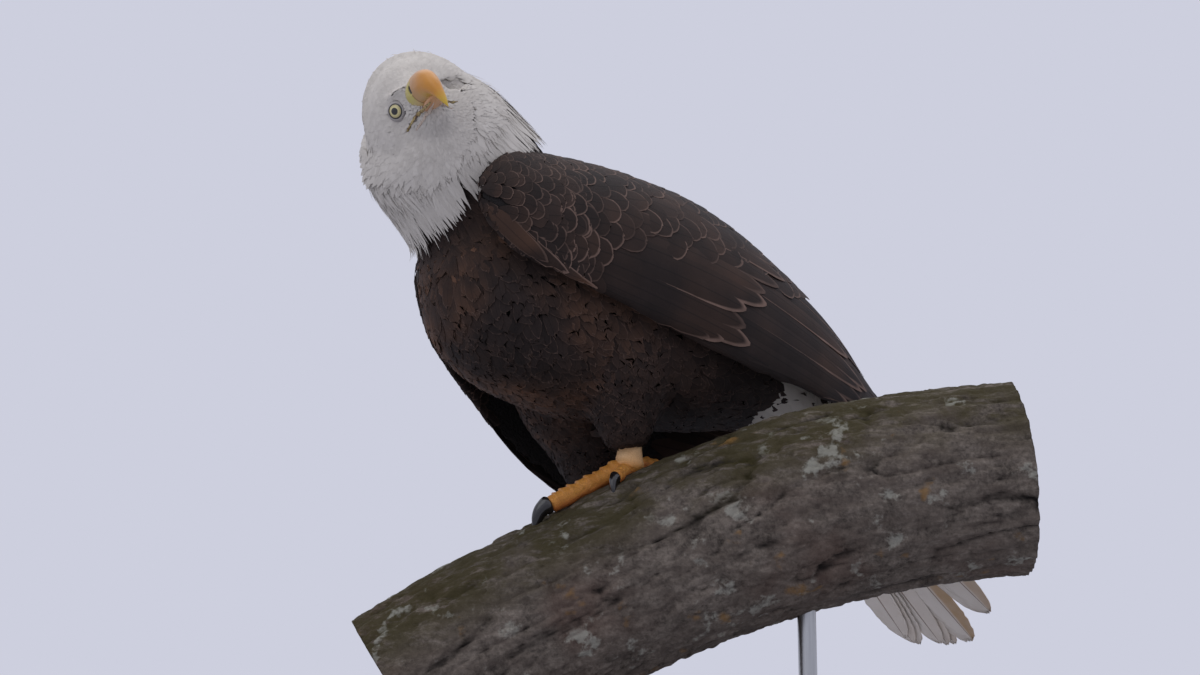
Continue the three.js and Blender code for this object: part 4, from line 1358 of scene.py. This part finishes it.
# The branch runs from one x to the other; its bark has this many points round and along it, and its
# sawn ends this many rings.
BRANCH_FROM, BRANCH_TO = -268, 330
AROUND, ALONG, END_RINGS = 280, 290, 12
bark_x, bark_turn = np.meshgrid(
    np.linspace(BRANCH_FROM, BRANCH_TO, ALONG), 360 * np.arange(AROUND) / AROUND, indexing="ij",
)
twisted = np.radians(bark_turn + 0.05 * bark_x)
round_bark = np.stack([bark_x / 2.4, BRANCH_RADIUS * np.cos(twisted), BRANCH_RADIUS * np.sin(twisted)], -1)
warp = np.stack([cloudy(round_bark, 22, seed) for seed in (1, 2, 3)], -1)
long_bark = round_bark * np.array([0.42, 1, 1]) + 5 * warp
furrow = np.abs(cloudy(long_bark, 21, 21) + 0.35 * cloudy(long_bark, 9, 22))
ridge_height = np.clip(furrow / 0.30, 0, 1) ** 0.6
nearest, second = plates(round_bark + 6 * warp, 15, 5)
crack = np.clip((second - nearest) / 0.16, 0, 1) ** 0.7
flake = 3.0 * cloudy(long_bark, 12, 23) + 1.2 * cloudy(round_bark, 6, 24)
ledge = (np.floor(flake) + np.clip((flake - np.floor(flake)) * 3.5, 0, 1)) * 0.8
bark_height = (
    -5.2 + 3.6 * ridge_height + 1.8 * crack + ledge
    + 0.9 * cloudy(round_bark, 3.6, 11) + 0.5 * cloudy(round_bark, 1.9, 12) + 1.6 * cloudy(round_bark, 60, 13)
)
bark_height = np.minimum(bark_height, 1.8)
bark = over_branch(bark_x, bark_turn, bark_height)
share = (np.arange(END_RINGS) + 0.5) / END_RINGS
centres = branch_axis(np.array([float(BRANCH_FROM), float(BRANCH_TO)]))
grid_points = np.concatenate([
    centres[0] + (bark[0] - centres[0]) * share[:, None, None], bark,
    centres[1] + (bark[-1] - centres[1]) * share[::-1, None, None],
])
sides, caps = tube_faces(len(grid_points), AROUND)
flat_ends = np.ones(grid_points.shape[:2])
flat_ends[END_RINGS:-END_RINGS] = 0
ring_share = np.concatenate([share, np.ones(ALONG), share[::-1]])[:, None] + np.zeros((1, AROUND))
relief = np.pad(bark_height, ((END_RINGS, END_RINGS), (0, 0)), mode="edge")
up_share = np.pad(np.cos(np.radians(bark_turn)), ((END_RINGS, END_RINGS), (0, 0)), mode="edge")

bark_finish = Finish("bark", Roughness=0.92, Specular_IOR_Level=0.2)
deep = bark_finish.attribute("relief")
bark_cloud = bark_finish.noise(45.0, 6.0, 0.65)
bark_fine = bark_finish.noise(240.0, 4.0, 0.7)
bark_broad = bark_finish.noise(7.0, 3.0)
bark_long = bark_finish.noise((22.0, 90.0, 90.0), 5.0, 0.7)
plate_tone = (1.7 * bark_cloud + 1.3 * bark_fine - 1.0).blend((44, 38, 34), (142, 131, 120))
plate_tone = (0.6 * bark_long.between(0.40, 0.62)).blend(plate_tone, (88, 78, 71))
plate_tone = (0.55 * bark_broad.between(0.5, 0.66)).blend(plate_tone, (92, 72, 63))
# Where the relief sinks lowest, in the cracks, the bark is painted near black: painted shade in the cracks.
plate_tone = deep.between(-6.2, -1.6).blend((26, 22, 20), plate_tone)
moss = bark_finish.attribute("up").between(0.0, 0.6) * (bark_broad + 0.4 * bark_cloud).between(0.5, 0.7)
moss = moss * bark_long.between(0.30, 0.52)
mossed = (0.85 * moss).blend(plate_tone, (62, 56, 30))
lichen = bark_finish.noise(30.0, 5.0, 0.6).between(0.58, 0.66) * deep.between(-4.0, 0.0)
lichened = (0.55 * lichen).blend(mossed, (172, 172, 160))
rust = bark_finish.noise(26.0, 4.0).between(0.64, 0.72) * deep.between(-4.0, 0.0)
rusty = (0.6 * rust).blend(lichened, (142, 106, 56))
rings = (bark_finish.attribute("ring") * 120.0 + 5.0 * bark_cloud).sine()
wood_tone = (0.35 + 0.3 * rings + 0.5 * bark_fine).blend((176, 146, 106), (132, 100, 66))
wood_tone = bark_finish.attribute("ring").between(0.93, 0.955).blend(wood_tone, (70, 54, 42))
bark_material = bark_finish.wear(
    bark_finish.attribute("end").between(0.4, 0.6).blend(rusty, wood_tone),
    bump=bark_cloud + 0.5 * bark_fine + 0.5 * bark_long, depth=0.004, strength=0.8,
)
branch = piece(
    "branch", np.concatenate([grid_points.reshape(-1, 3), centres]), [sides[:, [0, 3, 2, 1]], caps[:, [0, 2, 1]]],
    bark_material, None, {
        "relief": np.append(relief.ravel(), [0, 0]), "end": np.append(flat_ends.ravel(), [1, 1]),
        "ring": np.append(ring_share.ravel(), [0, 0]), "up": np.append(up_share.ravel(), [0, 0]),
    },
)
fixed(branch, "log", "perch")


# ---------- the stand ----------
# A dark oiled wooden base with eased edges carries two brushed steel rods, each let into the branch
# and held by a turned flange.

wood = Finish("oiled_wood", Roughness=0.42, Coat_Weight=0.15, Coat_Roughness=0.3)
wood_bend = wood.noise(5.0, 3.0)
_, wood_y, wood_z = wood.place().axes()
grain = (wood_y * 420.0 + wood_z * 160.0 + wood_bend * 34.0).sine()
pores = wood.noise((14.0, 420.0, 420.0), 4.0, 0.6)
wood_colour = (0.35 + 0.22 * grain + 0.5 * pores).blend((84, 58, 40), (46, 31, 23))
wood_finish = wood.wear(
    wood_colour, wood_bend.between(0.3, 0.7) * 0.15 + 0.36, bump=pores, depth=0.0004, strength=0.3,
)
BASE_SIZE = (480, 300, 20)
slab_points = np.array([(x, y, z) for z in (0, 1) for y in (-0.5, 0.5) for x in (-0.5, 0.5)]) * BASE_SIZE
slab_faces = np.array([[0, 2, 3, 1], [4, 5, 7, 6], [0, 1, 5, 4], [2, 6, 7, 3], [0, 4, 6, 2], [1, 3, 7, 5]])
slab = piece("wooden_base", slab_points, [slab_faces], wood_finish)
eased = slab.modifiers.new("eased_edges", "BEVEL")
eased.width = 0.004
eased.segments = 5
fixed(slab, "base", "stand_base")

steel = Finish("brushed_steel", Metallic=1.0, Roughness=0.3)
brushing = steel.noise((900.0, 900.0, 25.0), 3.0)
steel_finish = steel.wear(
    brushing.blend((196, 197, 198), (170, 171, 172)), 0.22 + 0.2 * brushing, bump=brushing,
    depth=0.0001, strength=0.3,
)
# Radius and height of the flange, the collar and the rod, from the base up.
FLANGE = [(0, 20.4), (15, 20.4), (17, 21), (17.4, 22), (17.4, 24), (16.8, 25), (12, 26), (9.6, 28), (9, 30)]
turn = 2 * np.pi * np.arange(48) / 48
ring = np.stack([np.cos(turn), np.sin(turn)], -1)
for number, x in enumerate((-110, 120), 1):
    top = float(branch_axis(np.array(float(x)))[2])
    section = np.array(FLANGE + [(9, height) for height in np.linspace(40, top - 2, 12)] + [(8, top), (0, top)])
    rod = np.concatenate([
        np.concatenate([radius * ring + [x, 0], np.full((48, 1), height)], 1) for radius, height in section[1:-1]
    ] + [[[x, 0, section[0, 1]], [x, 0, section[-1, 1]]]])
    post = piece(f"steel_rod_{number}", rod, tube_faces(len(section) - 2, 48), steel_finish)
    fixed(post, "rods", f"stand_rod_{number}")

low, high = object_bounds()
